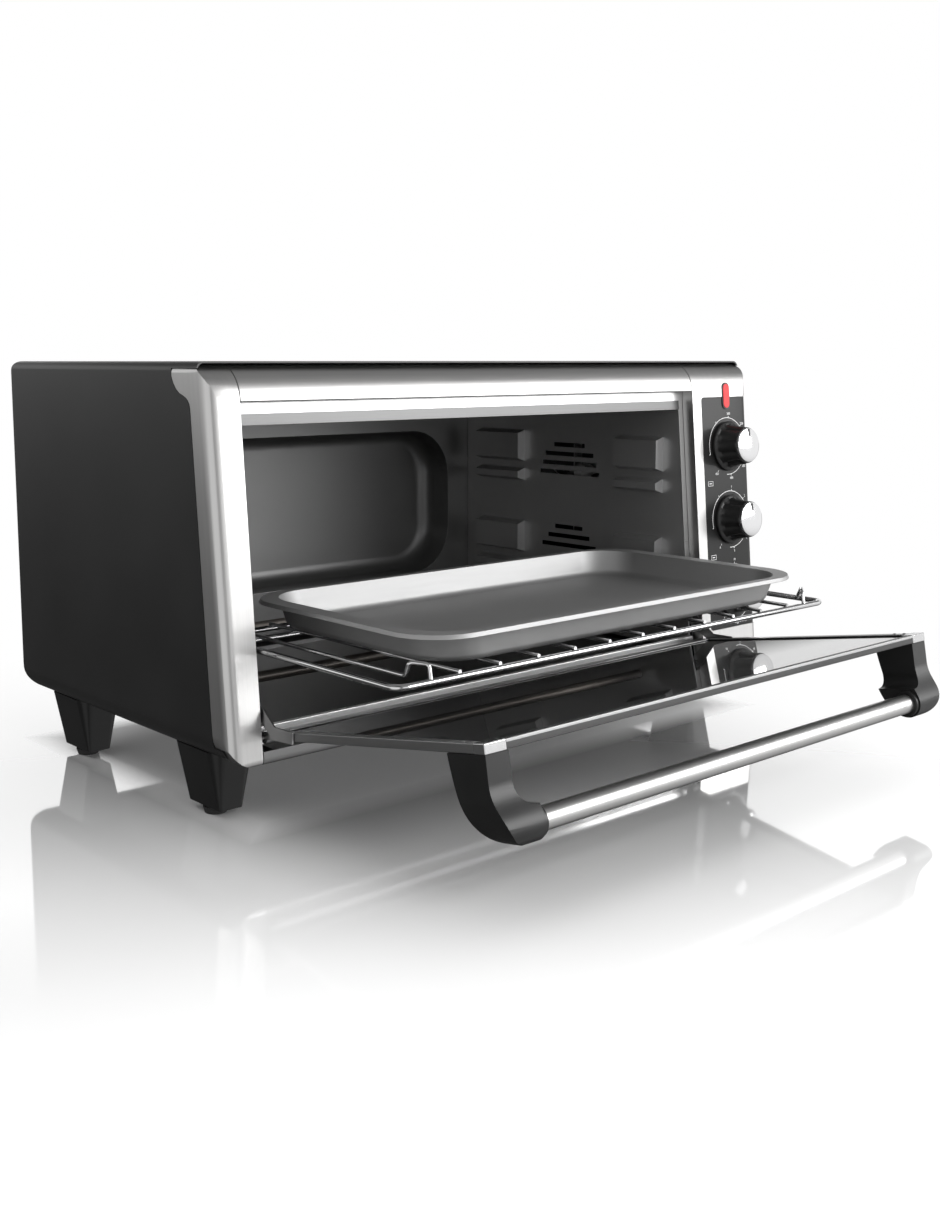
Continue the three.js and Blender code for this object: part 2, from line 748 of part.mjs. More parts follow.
function knobFace(z) {
  return knobLathe(
    [
      [0, knobDepth - 3 + gap],
      [knobFaceRadius, knobDepth - 3 + gap],
      [knobFaceRadius, knobDepth + 1],
      [knobFaceRadius - 2, knobDepth + 2.2],
      [knobFaceRadius / 2, knobDepth + 3.2],
      [0, knobDepth + 3.5],
    ],
    z,
  );
}

const controlFront = frameBack;
const shaftEnd = controlFront + 7;

function thermostat(z) {
  const body = join([
    rod("y", 19, controlFront, controlFront + 14, knobX, z, 24, frontMatrix),
    box(knobX - 12, knobX + 12, controlFront + 13, controlFront + 22, z - 9, z + 9, frontMatrix),
    box(knobX - 24, knobX + 24, controlFront, controlFront + 3, z - 6, z + 6, frontMatrix),
  ]);
  return body;
}

function selectorSwitch(z) {
  const terminals = [-12, -4, 4, 12].map((x) =>
    box(knobX + x - 0.4, knobX + x + 0.4, controlFront + 23, controlFront + 32, z - 3, z + 3, frontMatrix),
  );
  return join([box(knobX - 17, knobX + 17, controlFront, controlFront + 24, z - 17, z + 17, frontMatrix), ...terminals]);
}

function timerBody(z) {
  return join([
    box(knobX - 20, knobX + 20, controlFront, controlFront + 3, z - 22, z + 22, frontMatrix),
    box(knobX - 18, knobX + 18, controlFront + 2, controlFront + 28, z - 20, z + 20, frontMatrix),
    rod("y", 2, controlFront + 27, controlFront + 40, knobX, z, 8, frontMatrix),
  ]);
}

function timerBell(z) {
  const start = controlFront + 36;
  const profile = [
    [2.6, 2.2],
    [16, 0.8],
    [19, -6],
    [20.2, -6],
    [17, 2],
    [2.6, 3.6],
    [2.6, 2.2],
  ];
  const geometry = new THREE.LatheGeometry(profile.map(([r, y]) => new THREE.Vector2(r, start + y)), 16);
  return solid(geometry.translate(knobX, 0, z), frontMatrix);
}

const controls = [
  ["temperature", "thermostat", thermostat],
  ["function", "selector_switch", selectorSwitch],
  ["timer", "timer", timerBody],
];
controls.forEach(([use, mechanism, build], i) => {
  const z = knobHeight(i);
  const bore = rod("y", shaftRadius + 0.2, controlFront - 1, shaftEnd + 1, knobX, z, 16, frontMatrix);
  addPart(use + "_knob", knobBody(z), finish.blackPlastic);
  addPart(use + "_knob_face", knobFace(z), finish.chrome);
  addPart(use + "_shaft", rod("y", shaftRadius, -11, shaftEnd, knobX, z, 16, frontMatrix), finish.zincSteel);
  addPart(mechanism, build(z).subtract(bore), finish.zincSteel);
});
addPart("timer_bell", timerBell(knobHeight(2)), finish.zincSteel);

// ---------- convection fan, behind the right wall ----------
const fanX = cavityRight + sheet + 5;

function fanBlade() {
  const hub = rod("x", 9, fanX, fanX + 12, fanY, fanZ, 16);
  const shaft = rod("x", 2.6, fanX - 2, fanX + 26, fanY, fanZ, 12);
  const plate = rod("x", 20, fanX + 10, fanX + 11, fanY, fanZ, 24);
  const blades = [0, 1, 2, 3, 4, 5].map((i) => {
    const blade = new THREE.BoxGeometry(10, 1.2, fanRadius - 6);
    blade.translate(fanX + 6, 0, (fanRadius + 6) / 2);
    blade.applyMatrix4(new THREE.Matrix4().makeRotationX((i * Math.PI) / 3));
    return solid(blade.translate(0, fanY, fanZ));
  });
  return join([hub, shaft, plate, ...blades]);
}

function fanMotor() {
  const start = fanX + 15;
  const body = join([
    rod("x", 22, start, start + 30, fanY, fanZ, 24),
    box(start + 4, start + 20, fanY - 30, fanY + 30, fanZ - 12, fanZ + 12),
    box(start, start + 2, fanY - 44, fanY + 44, fanZ - 8, fanZ + 8),
  ]);
  return body.subtract(rod("x", 2.8, start - 1, start + 13, fanY, fanZ, 12));
}

addPart("fan_blade", fanBlade(), finish.zincSteel);
addPart("fan_motor", fanMotor(), finish.zincSteel);

// ---------- door ----------
// In the door frame a point s along the door lies at y = -s.
function doorBox(x0, x1, s0, s1, n0, n1) {
  return box(x0, x1, -s1, -s0, n0, n1, doorMatrix);
}

const doorOuterFace = doorInnerFace - doorThickness;
const glassMiddle = (doorInnerFace + doorOuterFace) / 2;
const glassLow = glassMiddle - glassThickness / 2;
const glassHigh = glassMiddle + glassThickness / 2;
const railLeftInner = doorLeft + railWidth;
const railRightInner = doorRight - railWidth;
const topRailStart = doorLength - topRailWidth;
const bottomRailEnd = bottomRailStart + bottomRailWidth;

function glassRoom(grow) {
  return doorBox(
    railLeftInner - glassEdge - grow,
    railRightInner + glassEdge + grow,
    bottomRailEnd - glassEdge - grow,
    topRailStart + glassEdge + grow,
    glassLow - grow,
    glassHigh + grow,
  );
}

function sideRail(x0, x1) {
  const bar = doorBox(x0, x1, 0, topRailStart - gap, doorOuterFace, doorInnerFace);
  const eye = rod("x", doorInnerFace, x0, x1, 0, 0, 20, doorMatrix);
  const hole = rod("x", pinRadius + 0.25, x0 - 1, x1 + 1, 0, 0, 20, doorMatrix);
  return cut(bar.add(eye), [hole, glassRoom(gap)]);
}

function doorArm(sign) {
  const outer = sign > 0 ? doorLeft - gap - armThickness : doorRight + gap;
  const half = armWidth / 2;
  const section = new THREE.Shape();
  section.moveTo(-34, doorInnerFace - 7);
  section.lineTo(-14, doorInnerFace - 5);
  section.lineTo(armTip + 2, armRise);
  section.absarc(armTip, armRise + half, half, -1.1, 2.4);
  section.lineTo(-16, doorInnerFace + 3.5);
  section.lineTo(-36, doorInnerFace + 0.5);
  const arm = alongX(section, outer, outer + armThickness, doorMatrix);
  return arm.subtract(rod("x", 1.6, outer - 2, outer + 4, armTip, armRise + half, 12, doorMatrix));
}

function doorSpring(sign) {
  const x = sign > 0 ? doorLeft - 4.6 - springRadius : doorRight + 4.6 + springRadius;
  const from = new THREE.Vector3(x, 17, hingeZ + 25);
  const to = new THREE.Vector3(x, 78, caseBottom + 11);
  return wire([from.toArray(), to.toArray()], springRadius, 0, 12);
}

function hingePin(sign) {
  const [a, b] = sign > 0 ? [trimLeft - 3, doorLeft + 5] : [doorRight - 5, trimRight + 3];
  return rod("x", pinRadius, a, b, hingeY, hingeZ, 20);
}

const barY = -(doorLength - handleInside);
const barZ = -handleStandoff;
const bracketTop = doorOuterFace - gap;

function bracketSide() {
  const foot = -(doorLength - bracketFoot);
  const shape = new THREE.Shape();
  shape.moveTo(foot, bracketTop);
  shape.bezierCurveTo(foot - 2, bracketTop - 14, foot - 5, barZ + 13, foot - 11, barZ + 3);
  shape.bezierCurveTo(foot - 16, barZ - 5, barY + 8, barZ - collarRadius, barY, barZ - collarRadius);
  shape.absarc(barY, barZ, collarRadius, -Math.PI / 2, -Math.PI, true);
  shape.bezierCurveTo(barY - collarRadius, barZ + 9, -doorLength, barZ + 14, -doorLength, barZ + 26);
  shape.lineTo(-doorLength, bracketTop);
  return shape;
}

function bracketFront(edge, sign) {
  const shape = new THREE.Shape();
  const reach = edge + sign * bracketReach;
  const inner = edge + sign * bracketWidth;
  shape.moveTo(edge, bracketTop + 1);
  shape.lineTo(edge, barZ + 18);
  shape.bezierCurveTo(edge, barZ - 1, edge + sign * 9, barZ - collarRadius, edge + sign * 22, barZ - collarRadius);
  shape.lineTo(reach, barZ - collarRadius);
  shape.lineTo(reach, barZ + collarRadius);
  shape.bezierCurveTo(reach - sign * 7, barZ + collarRadius, inner, barZ + collarRadius + 4, inner, barZ + collarRadius + 12);
  shape.lineTo(inner, bracketTop + 1);
  return shape;
}

function handleBracket(sign) {
  const edge = sign > 0 ? doorLeft : doorRight;
  const across = (from, to) => [edge + sign * from, edge + sign * to].sort((a, b) => a - b);
  const side = alongX(bracketSide(), ...across(-1, bracketReach + 1), doorMatrix);
  const front = alongY(bracketFront(edge, sign), barY - 30, barY + 50, doorMatrix);
  const [c0, c1] = across(bracketReach - 1, bracketReach + collarLength);
  const collar = rod("x", collarRadius - 1, c0, c1, barY, barZ, 24, doorMatrix);
  const [h0, h1] = across(bracketReach - barGrip, bracketReach + 10);
  const socket = rod("x", handleRadius + gap, h0, h1, barY, barZ, 24, doorMatrix);
  return side.intersect(front).add(collar).subtract(socket);
}

function handleBar() {
  const inset = bracketReach - barGrip + gap;
  const [x0, x1] = [doorLeft + inset, doorRight - inset];
  const bar = rod("x", handleRadius, x0, x1, barY, barZ, 24, doorMatrix);
  return bar.subtract(rod("x", handleRadius - sheet, x0 - 1, x1 + 1, barY, barZ, 24, doorMatrix));
}

addPart("door_glass", glassRoom(0), finish.glass);
addPart("door_left_rail", sideRail(doorLeft, railLeftInner), finish.stainless);
addPart("door_right_rail", sideRail(railRightInner, doorRight), finish.stainless);
addPart(
  "door_top_rail",
  doorBox(doorLeft, doorRight, topRailStart, doorLength, doorOuterFace, doorInnerFace).subtract(glassRoom(gap)),
  finish.stainless,
);
addPart(
  "door_bottom_rail",
  doorBox(railLeftInner + gap, railRightInner - gap, bottomRailStart, bottomRailEnd, doorOuterFace, doorInnerFace)
    .subtract(glassRoom(gap)),
  finish.stainless,
);
for (const [side, shape] of mirrored(handleBracket)) addPart("handle_bracket_" + side, shape, finish.blackPlastic);
addPart("handle_bar", handleBar(), finish.stainless);
for (const [side, shape] of mirrored(doorArm)) addPart("door_arm_" + side, shape, finish.zincSteel);
for (const [side, shape] of mirrored(hingePin)) addPart("hinge_pin_" + side, shape, finish.zincSteel);
for (const [side, shape] of mirrored(doorSpring)) addPart("door_spring_" + side, shape, finish.zincSteel);

// ---------- rack and pan ----------
function wireRack() {
  const z = lowerRackZ;
  const back = rackFront + rackDepth;
  const barZ = z + rackEdgeRadius + rackWireRadius - 0.6;
  const inner = 17;
  const loop = 9;
  const frame = wire(
    [
      [rackLeft, back, z],
      [rackLeft, rackFront, z],
      [rackRight, rackFront, z],
      [rackRight, back, z],
    ],
    rackEdgeRadius,
    rackBend,
  );
  const rearWires = [back, back - 28].map((y) =>
    rod("x", rackEdgeRadius, rackLeft - 0.5, rackRight + 0.5, y, z, 6),
  );
  const first = rackLeft + 48;
  const pitch = (rackRight - rackLeft - 96) / (rackBars - 1);
  const bars = Array.from({ length: rackBars }, (unused, i) =>
    rod("y", rackWireRadius, rackFront - 0.5, back + 0.5, first + i * pitch, barZ, 6),
  );
  const loops = [rackLeft + inner, rackRight - inner].map((x, i) => {
    const across = i ? -loop : loop;
    return wire(
      [
        [x, back, barZ],
        [x, rackFront + 13, barZ],
        [x, rackFront + 10, barZ + 9],
        [x + across, rackFront + 2, barZ + 7],
        [x + across, rackFront, z],
      ],
      rackWireRadius,
      2,
    );
  });
  return join([frame, ...rearWires, ...bars, ...loops]);
}

function bakingPan() {
  const bottom = lowerRackZ + rackEdgeRadius + 2 * rackWireRadius - 0.6 + gap;
  const top = bottom + panHeight;
  const x0 = cavityMid - panWidth / 2;
  const x1 = cavityMid + panWidth / 2;
  const y0 = rackFront - 1.5;
  const y1 = y0 + panDepth;
  const draft = 5;
  const tub = (inset, depth) => {
    const geometry = pressed(
      x0 + panRim + inset,
      x1 - panRim - inset,
      y0 + panRimFront + inset,
      y1 - panRimFront - inset,
      panCorner - inset,
      draft,
      depth,
      depth + 30,
      1,
    );
    geometry.rotateX(Math.PI).translate(0, y0 + y1, top - inset - 0.01);
    return solid(geometry.translate(0, 0, 30 + (inset ? sheet : 0)));
  };
  const rimShape = (inset) => roundedShape(x0 + inset, x1 - inset, y0 + inset, y1 - inset, panCorner + 6 - inset);
  const rim = alongZ(rimShape(0), top - 3, top).subtract(alongZ(rimShape(sheet), top - 5, top - sheet));
  const keep = alongZ(rimShape(-5), 0, top);
  return rim.add(tub(0, panHeight).intersect(keep)).subtract(tub(sheet, panHeight));
}

addPart("wire_rack", wireRack(), finish.chrome);
addPart("baking_pan", bakingPan(), finish.panGrey);

// ---------- feet ----------
const footPlaces = [
  ["front_left", left + footSideInset, footFrontInset],
  ["front_right", right - footSideInset, footFrontInset],
  ["rear_left", left + footSideInset, caseBack - footBackInset],
  ["rear_right", right - footSideInset, caseBack - footBackInset],
];

function foot(x, y) {
  const top = caseBottom - gap;
  const height = top - padHeight - 1;
  const [w, l] = [footWidth / 2, footLength / 2];
  const geometry = pressed(x - w, x + w, y - l, y + l, footTaper + 2, footTaper, height, height + 20, 1);
  geometry.rotateX(Math.PI).translate(0, 2 * y, top + 20);
  const block = solid(geometry).intersect(box(x - w - 5, x + w + 5, y - l - 5, y + l + 5, -20, top));
  return block.subtract(rod("z", 4.2, 0, padHeight + 6, x, y, 12));
}

function footPad(x, y) {
  return join([
    rod("z", padRadius - 1.5, 0, padHeight, x, y, 20, null, padRadius),
    rod("z", 4, padHeight - 1, padHeight + 5.5, x, y, 12),
  ]);
}

for (const [place, x, y] of footPlaces) {
  addPart("foot_" + place, foot(x, y), finish.blackPlastic);
  addPart("foot_pad_" + place, footPad(x, y), finish.rubber);
}

// ---------- origin: bottom centre of the whole object ----------
const bounds = new THREE.Box3().setFromObject(oven, true);
const middle = bounds.getCenter(new THREE.Vector3());
oven.position.set(-middle.x, -middle.y, -bounds.min.z);

export default oven;
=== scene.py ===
import json
import math

import bmesh
import bpy
from mathutils import Matrix, Vector

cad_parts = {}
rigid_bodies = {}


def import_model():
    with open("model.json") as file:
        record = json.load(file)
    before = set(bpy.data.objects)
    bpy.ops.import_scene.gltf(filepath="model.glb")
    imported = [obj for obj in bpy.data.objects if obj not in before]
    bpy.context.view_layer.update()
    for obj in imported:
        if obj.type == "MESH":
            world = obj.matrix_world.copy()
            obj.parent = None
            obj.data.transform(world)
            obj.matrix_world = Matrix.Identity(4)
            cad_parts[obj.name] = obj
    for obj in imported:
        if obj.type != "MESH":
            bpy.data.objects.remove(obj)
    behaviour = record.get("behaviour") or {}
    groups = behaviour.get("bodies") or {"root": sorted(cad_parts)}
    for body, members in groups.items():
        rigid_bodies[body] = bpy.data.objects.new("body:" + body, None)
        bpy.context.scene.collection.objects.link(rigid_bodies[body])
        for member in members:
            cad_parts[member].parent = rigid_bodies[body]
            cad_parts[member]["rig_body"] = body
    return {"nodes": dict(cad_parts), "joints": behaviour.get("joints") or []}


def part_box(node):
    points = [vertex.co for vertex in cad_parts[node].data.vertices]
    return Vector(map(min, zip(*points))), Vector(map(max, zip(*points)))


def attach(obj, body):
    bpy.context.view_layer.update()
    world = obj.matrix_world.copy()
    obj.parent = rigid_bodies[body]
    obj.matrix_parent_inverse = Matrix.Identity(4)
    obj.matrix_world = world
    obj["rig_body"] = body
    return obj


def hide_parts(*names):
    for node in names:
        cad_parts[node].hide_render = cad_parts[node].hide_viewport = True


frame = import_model()
nodes = frame["nodes"]
joints = {joint["name"]: joint for joint in frame["joints"]}
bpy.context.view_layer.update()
print("frame loaded:", len(nodes), "nodes")

mm = 0.001
lean = math.radians(4.6)  # the front leans back
doorRest = math.radians(9.7)  # open door over the level

# place of the leaning front: X right, -Y out, Z up along it
dialAt = Vector(joints["temperature_turn"]["pos_m"])
frontMid = 0.152
frontY = dialAt.y - math.tan(lean) * (dialAt.z - frontMid)
frontPlace = Matrix.Translation((0, frontY, frontMid)) @ Matrix.Rotation(-lean, 4, "X")
# place of the open door: -Y out along it, Z its inner face
doorPlace = Matrix.Translation(joints["door_hinge"]["pos_m"]) @ Matrix.Rotation(-doorRest, 4, "X")


def localBox(name, place):
    # lowest and highest corner of a node, measured along a place's own axes
    back = place.inverted()
    points = [back @ vertex.co for vertex in nodes[name].data.vertices]
    low = Vector([min(point[i] for point in points) for i in range(3)])
    high = Vector([max(point[i] for point in points) for i in range(3)])
    return low, high


# finishes
class Signal:
    # a shader socket that can stand in a sum
    def __init__(self, finish, socket):
        self.finish, self.socket = finish, socket

    def maths(self, operation, first, second):
        return self.finish.maths(operation, first, second)

    def __add__(self, other):
        return self.maths("ADD", self, other)

    def __radd__(self, other):
        return self.maths("ADD", other, self)

    def __sub__(self, other):
        return self.maths("SUBTRACT", self, other)

    def __rsub__(self, other):
        return self.maths("SUBTRACT", other, self)

    def __mul__(self, other):
        return self.maths("MULTIPLY", self, other)

    def __rmul__(self, other):
        return self.maths("MULTIPLY", other, self)


class Finish:
    def __init__(self, name):
        self.material = bpy.data.materials.new(name)
        self.material.use_nodes = True
        self.tree = self.material.node_tree
        self.tree.nodes.clear()
        self.last = self.tree.nodes.new("ShaderNodeOutputMaterial")

    def add(self, kind, settings=None, values=None):
        # any node, from its type, its settings and the values or links of its sockets
        node = self.tree.nodes.new(kind)
        for name, value in (settings or {}).items():
            if name == "stops":
                for i, (at, tone) in enumerate(value):
                    element = node.color_ramp.elements[i] if i < 2 else node.color_ramp.elements.new(at)
                    element.position, element.color = at, tone
            else:
                setattr(node, name, value)
        for key, value in (values or {}).items():
            if isinstance(value, Signal):
                self.tree.links.new(value.socket, node.inputs[key])
            else:
                node.inputs[key].default_value = value
        return node

    def out(self, node, output=0):
        return Signal(self, node.outputs[output])

    def spot(self, stretch=(1, 1, 1), turn=0.0):
        # Object coordinates, turned about X and then stretched
        place = self.out(self.add("ShaderNodeTexCoord"), "Object")
        if turn:
            place = self.out(self.add("ShaderNodeMapping", None, {"Vector": place, "Rotation": (turn, 0, 0)}))
        return self.out(self.add("ShaderNodeMapping", None, {"Vector": place, "Scale": stretch}))

    def noise(self, scale, stretch=(1, 1, 1), turn=0.0, detail=3.0):
        values = {"Vector": self.spot(stretch, turn), "Scale": scale, "Detail": detail}
        return self.out(self.add("ShaderNodeTexNoise", None, values))

    def maths(self, operation, *values):
        return self.out(self.add("ShaderNodeMath", {"operation": operation}, dict(enumerate(values))))

    def spread(self, value, low, high, kind="LINEAR"):
        # 0 under low, 1 over high
        limits = {0: value, 1: low, 2: high, 3: 0.0, 4: 1.0}
        return self.out(self.add("ShaderNodeMapRange", {"interpolation_type": kind}, limits))

    def blend(self, factor, first, second):
        # two shaders mixed by a factor
        node = self.add("ShaderNodeMixShader", None, {0: factor})
        self.tree.links.new(first.outputs[0], node.inputs[1])
        self.tree.links.new(second.outputs[0], node.inputs[2])
        return node

    def ramp(self, factor, stops):
        return self.out(self.add("ShaderNodeValToRGB", {"stops": stops}, {"Fac": factor}))

    def tones(self, factor, first, second):
        return self.out(self.add("ShaderNodeMix", {"data_type": "RGBA"}, {0: factor, 6: first, 7: second}), 2)

    def bump(self, height, strength, distance=0.0003):
        return self.out(
            self.add("ShaderNodeBump", None, {"Height": height, "Strength": strength, "Distance": distance})
        )

    def surface(self, **values):
        named = {key.replace("_", " "): value for key, value in values.items()}
        shader = self.add("ShaderNodeBsdfPrincipled", None, named)
        self.tree.links.new(shader.outputs[0], self.last.inputs[0])
        return self.material


def grey(level, tint=(1, 1, 1)):
    return (level * tint[0], level * tint[1], level * tint[2], 1)


def blackPaint():
    finish = Finish("blackPaint")
    settings = {"dark": grey(0.006), "light": grey(0.014), "grain": 2600, "cloud": 14}
    cloud = finish.noise(settings["cloud"])
    grain = finish.noise(settings["grain"], detail=2.0)
    return finish.surface(
        Base_Color=finish.tones(cloud, settings["dark"], settings["light"]),
        Roughness=0.30 + cloud * 0.08 + grain * 0.05,
        Specular_IOR_Level=0.35,
        Coat_Weight=0.12,
        Coat_Roughness=0.2,
        Normal=finish.bump(grain, 0.10, 0.0002),
    )


def brushed(name, along, dark, light, rough=0.24, turn=0.0, strength=0.10):
    # brushed steel: the grain runs along one axis
    finish = Finish(name)
    stretch = {"x": (0.012, 1, 1), "y": (1, 0.012, 1), "z": (1, 1, 0.012)}[along]
    fine = finish.noise(2400, stretch, turn, 2.0)
    band = finish.noise(260, stretch, turn, 2.0)
    smear = finish.noise(9)
    mixed = fine * 0.6 + band * 0.4
    return finish.surface(
        Base_Color=finish.tones(mixed, dark, light),
        Metallic=1.0,
        Roughness=rough + fine * 0.10 + band * 0.06 + smear * 0.05,
        Normal=finish.bump(mixed, strength, 0.0002),
    )


def cavitySteel(name, level):
    # level sets the steel's tone; it is set higher for the right wall to paint light on it
    finish = Finish(name)
    cloud = finish.noise(7)
    grain = finish.noise(1500, (0.05, 1, 1), detail=2.0)
    return finish.surface(
        Base_Color=finish.tones(cloud, grey(level), grey(level * 1.25)),
        Metallic=0.9,
        Roughness=0.36 + cloud * 0.08 + grain * 0.06,
        Normal=finish.bump(grain, 0.06, 0.0002),
    )


def zincSteel():
    finish = Finish("zincSteel")
    spangle = finish.add("ShaderNodeTexVoronoi", None, {"Vector": finish.spot(), "Scale": 160.0})
    flake = finish.out(spangle, "Distance")
    cloud = finish.noise(60)
    return finish.surface(
        Base_Color=finish.tones(cloud, grey(0.34), grey(0.46)),
        Metallic=1.0,
        Roughness=0.30 + flake * 0.12,
        Normal=finish.bump(flake, 0.05, 0.0002),
    )


def chrome(name, rough, level=0.78):
    finish = Finish(name)
    cloud = finish.noise(45)
    grain = finish.noise(1800)
    return finish.surface(
        Base_Color=finish.tones(cloud, grey(level * 0.92), grey(level, (1, 1, 1.01))),
        Metallic=1.0,
        Roughness=rough + cloud * 0.05,
        Normal=finish.bump(grain, 0.02, 0.0001),
    )


def blackPlastic():
    finish = Finish("blackPlastic")
    grain = finish.noise(3000, detail=1.0)
    cloud = finish.noise(30)
    return finish.surface(
        Base_Color=finish.tones(cloud, grey(0.006), grey(0.012)),
        Roughness=0.24 + grain * 0.10 + cloud * 0.05,
        Specular_IOR_Level=0.4,
        Normal=finish.bump(grain, 0.05, 0.0002),
    )


def panelGrey():
    finish = Finish("panelGrey")
    grain = finish.noise(2200, detail=1.0)
    cloud = finish.noise(18)
    return finish.surface(
        Base_Color=finish.tones(cloud, grey(0.010), grey(0.015)),
        Roughness=0.26 + grain * 0.06,
        Specular_IOR_Level=0.2,
        Coat_Weight=0.08,
        Coat_Roughness=0.08,
        Normal=finish.bump(grain, 0.04, 0.0001),
    )


def whitePrint():
    finish = Finish("whitePrint")
    grain = finish.noise(2500)
    tone = finish.tones(grain, grey(0.66), grey(0.82))
    return finish.surface(Base_Color=tone, Roughness=0.45 + grain * 0.1)


def redLens():
    finish = Finish("redLens")
    glow = finish.noise(120)
    return finish.surface(
        Base_Color=finish.tones(glow, (0.45, 0.012, 0.015, 1), (0.62, 0.03, 0.035, 1)),
        Roughness=0.30 + glow * 0.08,
        Specular_IOR_Level=0.3,
        Emission_Color=finish.tones(glow, (0.70, 0.02, 0.02, 1), (0.9, 0.05, 0.05, 1)),
        Emission_Strength=0.12,
    )


def lampGlass():
    finish = Finish("lampGlass")
    cloud = finish.noise(90)
    return finish.surface(
        Base_Color=finish.tones(cloud, (0.85, 0.55, 0.35, 1), (0.95, 0.75, 0.6, 1)),
        Roughness=0.08 + cloud * 0.05,
        Transmission_Weight=0.6,
        IOR=1.45,
    )


def tintedGlass():
    finish = Finish("tintedGlass")
    film = finish.noise(6)
    return finish.surface(
        Base_Color=finish.tones(film, grey(0.10), grey(0.14)),
        Roughness=0.012 + film * 0.02,
        Transmission_Weight=0.92,
        IOR=1.52,
        Coat_Weight=0.6,
        Coat_Roughness=0.01,
    )


def panGrey():
    finish = Finish("panGrey")
    cloud = finish.noise(11)
    grain = finish.noise(1700)
    scuff = finish.noise(420, (0.05, 1, 1))
    return finish.surface(
        Base_Color=finish.tones(cloud, grey(0.36), grey(0.45)),
        Metallic=0.9,
        Roughness=0.48 + cloud * 0.07 + scuff * 0.06,
        Normal=finish.bump(grain, 0.06, 0.0002),
    )


def footRubber():
    finish = Finish("footRubber")
    grain = finish.noise(900)
    return finish.surface(
        Base_Color=finish.tones(grain, grey(0.010), grey(0.020)),
        Roughness=0.65 + grain * 0.15,
        Normal=finish.bump(grain, 0.15),
    )


def elementSheath():
    finish = Finish("elementSheath")
    heat = finish.noise(35, (0.3, 1, 1))
    return finish.surface(
        Base_Color=finish.tones(heat, (0.07, 0.068, 0.066, 1), (0.17, 0.15, 0.13, 1)),
        Metallic=0.7,
        Roughness=0.42 + heat * 0.15,
        Normal=finish.bump(finish.noise(1400), 0.08, 0.0002),
    )


looks = {
    "paint": blackPaint(),
    "upright": brushed("uprightSteel", "z", grey(0.50), grey(0.66, (1, 0.99, 0.975)), turn=lean),
    "across": brushed("acrossSteel", "x", grey(0.50), grey(0.66, (1, 0.99, 0.975))),
    "rail": brushed("railSteel", "y", grey(0.34), grey(0.46), 0.26, turn=doorRest),
    "railAcross": brushed("railAcrossSteel", "x", grey(0.30), grey(0.40), 0.26),
    "railDark": brushed("railDarkSteel", "x", grey(0.05), grey(0.08), 0.30),
    "lip": brushed("lipSteel", "x", grey(0.11), grey(0.15), 0.26),
    "sill": brushed("sillSteel", "x", grey(0.55), grey(0.70), 0.20),
    "cavity": cavitySteel("cavitySteel", 0.20),
    # the same cavity steel painted lighter for the right wall, where light falls; the left wall, back and
    # ceiling keep the darker copy
    "cavitySide": cavitySteel("cavitySideSteel", 0.48),
    "zinc": zincSteel(),
    "rackChrome": chrome("rackChrome", 0.10, 0.72),
    "knobChrome": chrome("knobChrome", 0.05, 0.85),
    "plastic": blackPlastic(),
    "panel": panelGrey(),
    "print": whitePrint(),
    "red": redLens(),
    "lamp": lampGlass(),
    "glass": tintedGlass(),
    "pan": panGrey(),
    "rubber": footRubber(),
    "element": elementSheath(),
}
print("finishes made:", len(looks))


# ways of working
def only(piece):
    bpy.ops.object.select_all(action="DESELECT")
    piece.select_set(True)
    bpy.context.view_layer.objects.active = piece


def edit(piece, mode="FACE"):
    only(piece)
    bpy.ops.object.mode_set(mode="EDIT")
    bpy.ops.mesh.select_mode(type=mode)
    bpy.ops.mesh.select_all(action="DESELECT")


def leave():
    bpy.ops.object.mode_set(mode="OBJECT")


def pick(kind, test):
    # selects the faces, edges or verts of the mesh in edit mode that pass a test
    mesh = bmesh.from_edit_mesh(bpy.context.edit_object.data)
    bpy.ops.mesh.select_mode(type={"faces": "FACE", "edges": "EDGE", "verts": "VERT"}[kind])
    for part in [*mesh.faces, *mesh.edges, *mesh.verts]:
        part.select = False
    for part in getattr(mesh, kind):
        if test(part):
            part.select_set(True)
    bmesh.update_edit_mesh(bpy.context.edit_object.data)


def soften(piece, width=0.4 * mm, steps=2, angle=40, smooth=40):
    # small rounded edges, then smooth shading
    only(piece)
    bevel = piece.modifiers.new("edges", "BEVEL")
    bevel.width, bevel.segments = width, steps
    bevel.limit_method, bevel.angle_limit = "ANGLE", math.radians(angle)
    bevel.use_clamp_overlap = True
    bpy.ops.object.modifier_apply(modifier="edges")
    bpy.ops.object.shade_smooth_by_angle(angle=math.radians(smooth))
    piece.modifiers.new("weights", "WEIGHTED_NORMAL").keep_sharp = True
    bpy.ops.object.modifier_apply(modifier="weights")


def settle(piece, name, look, body, place=None, stands=()):
    # puts a finished piece where it belongs and says what it is
    only(piece)
    bpy.ops.object.transform_apply(location=True, rotation=True, scale=True)
    if place is not None:
        piece.data.transform(place)
    piece.name = piece.data.name = name
    piece.data.materials.clear()
    piece.data.materials.append(looks[look])
    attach(piece, body)
    if stands:
        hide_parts(*stands)
    return piece


def join(pieces):
    only(pieces[0])
    for piece in pieces:
        piece.select_set(True)
    bpy.ops.object.join()
    return bpy.context.active_object


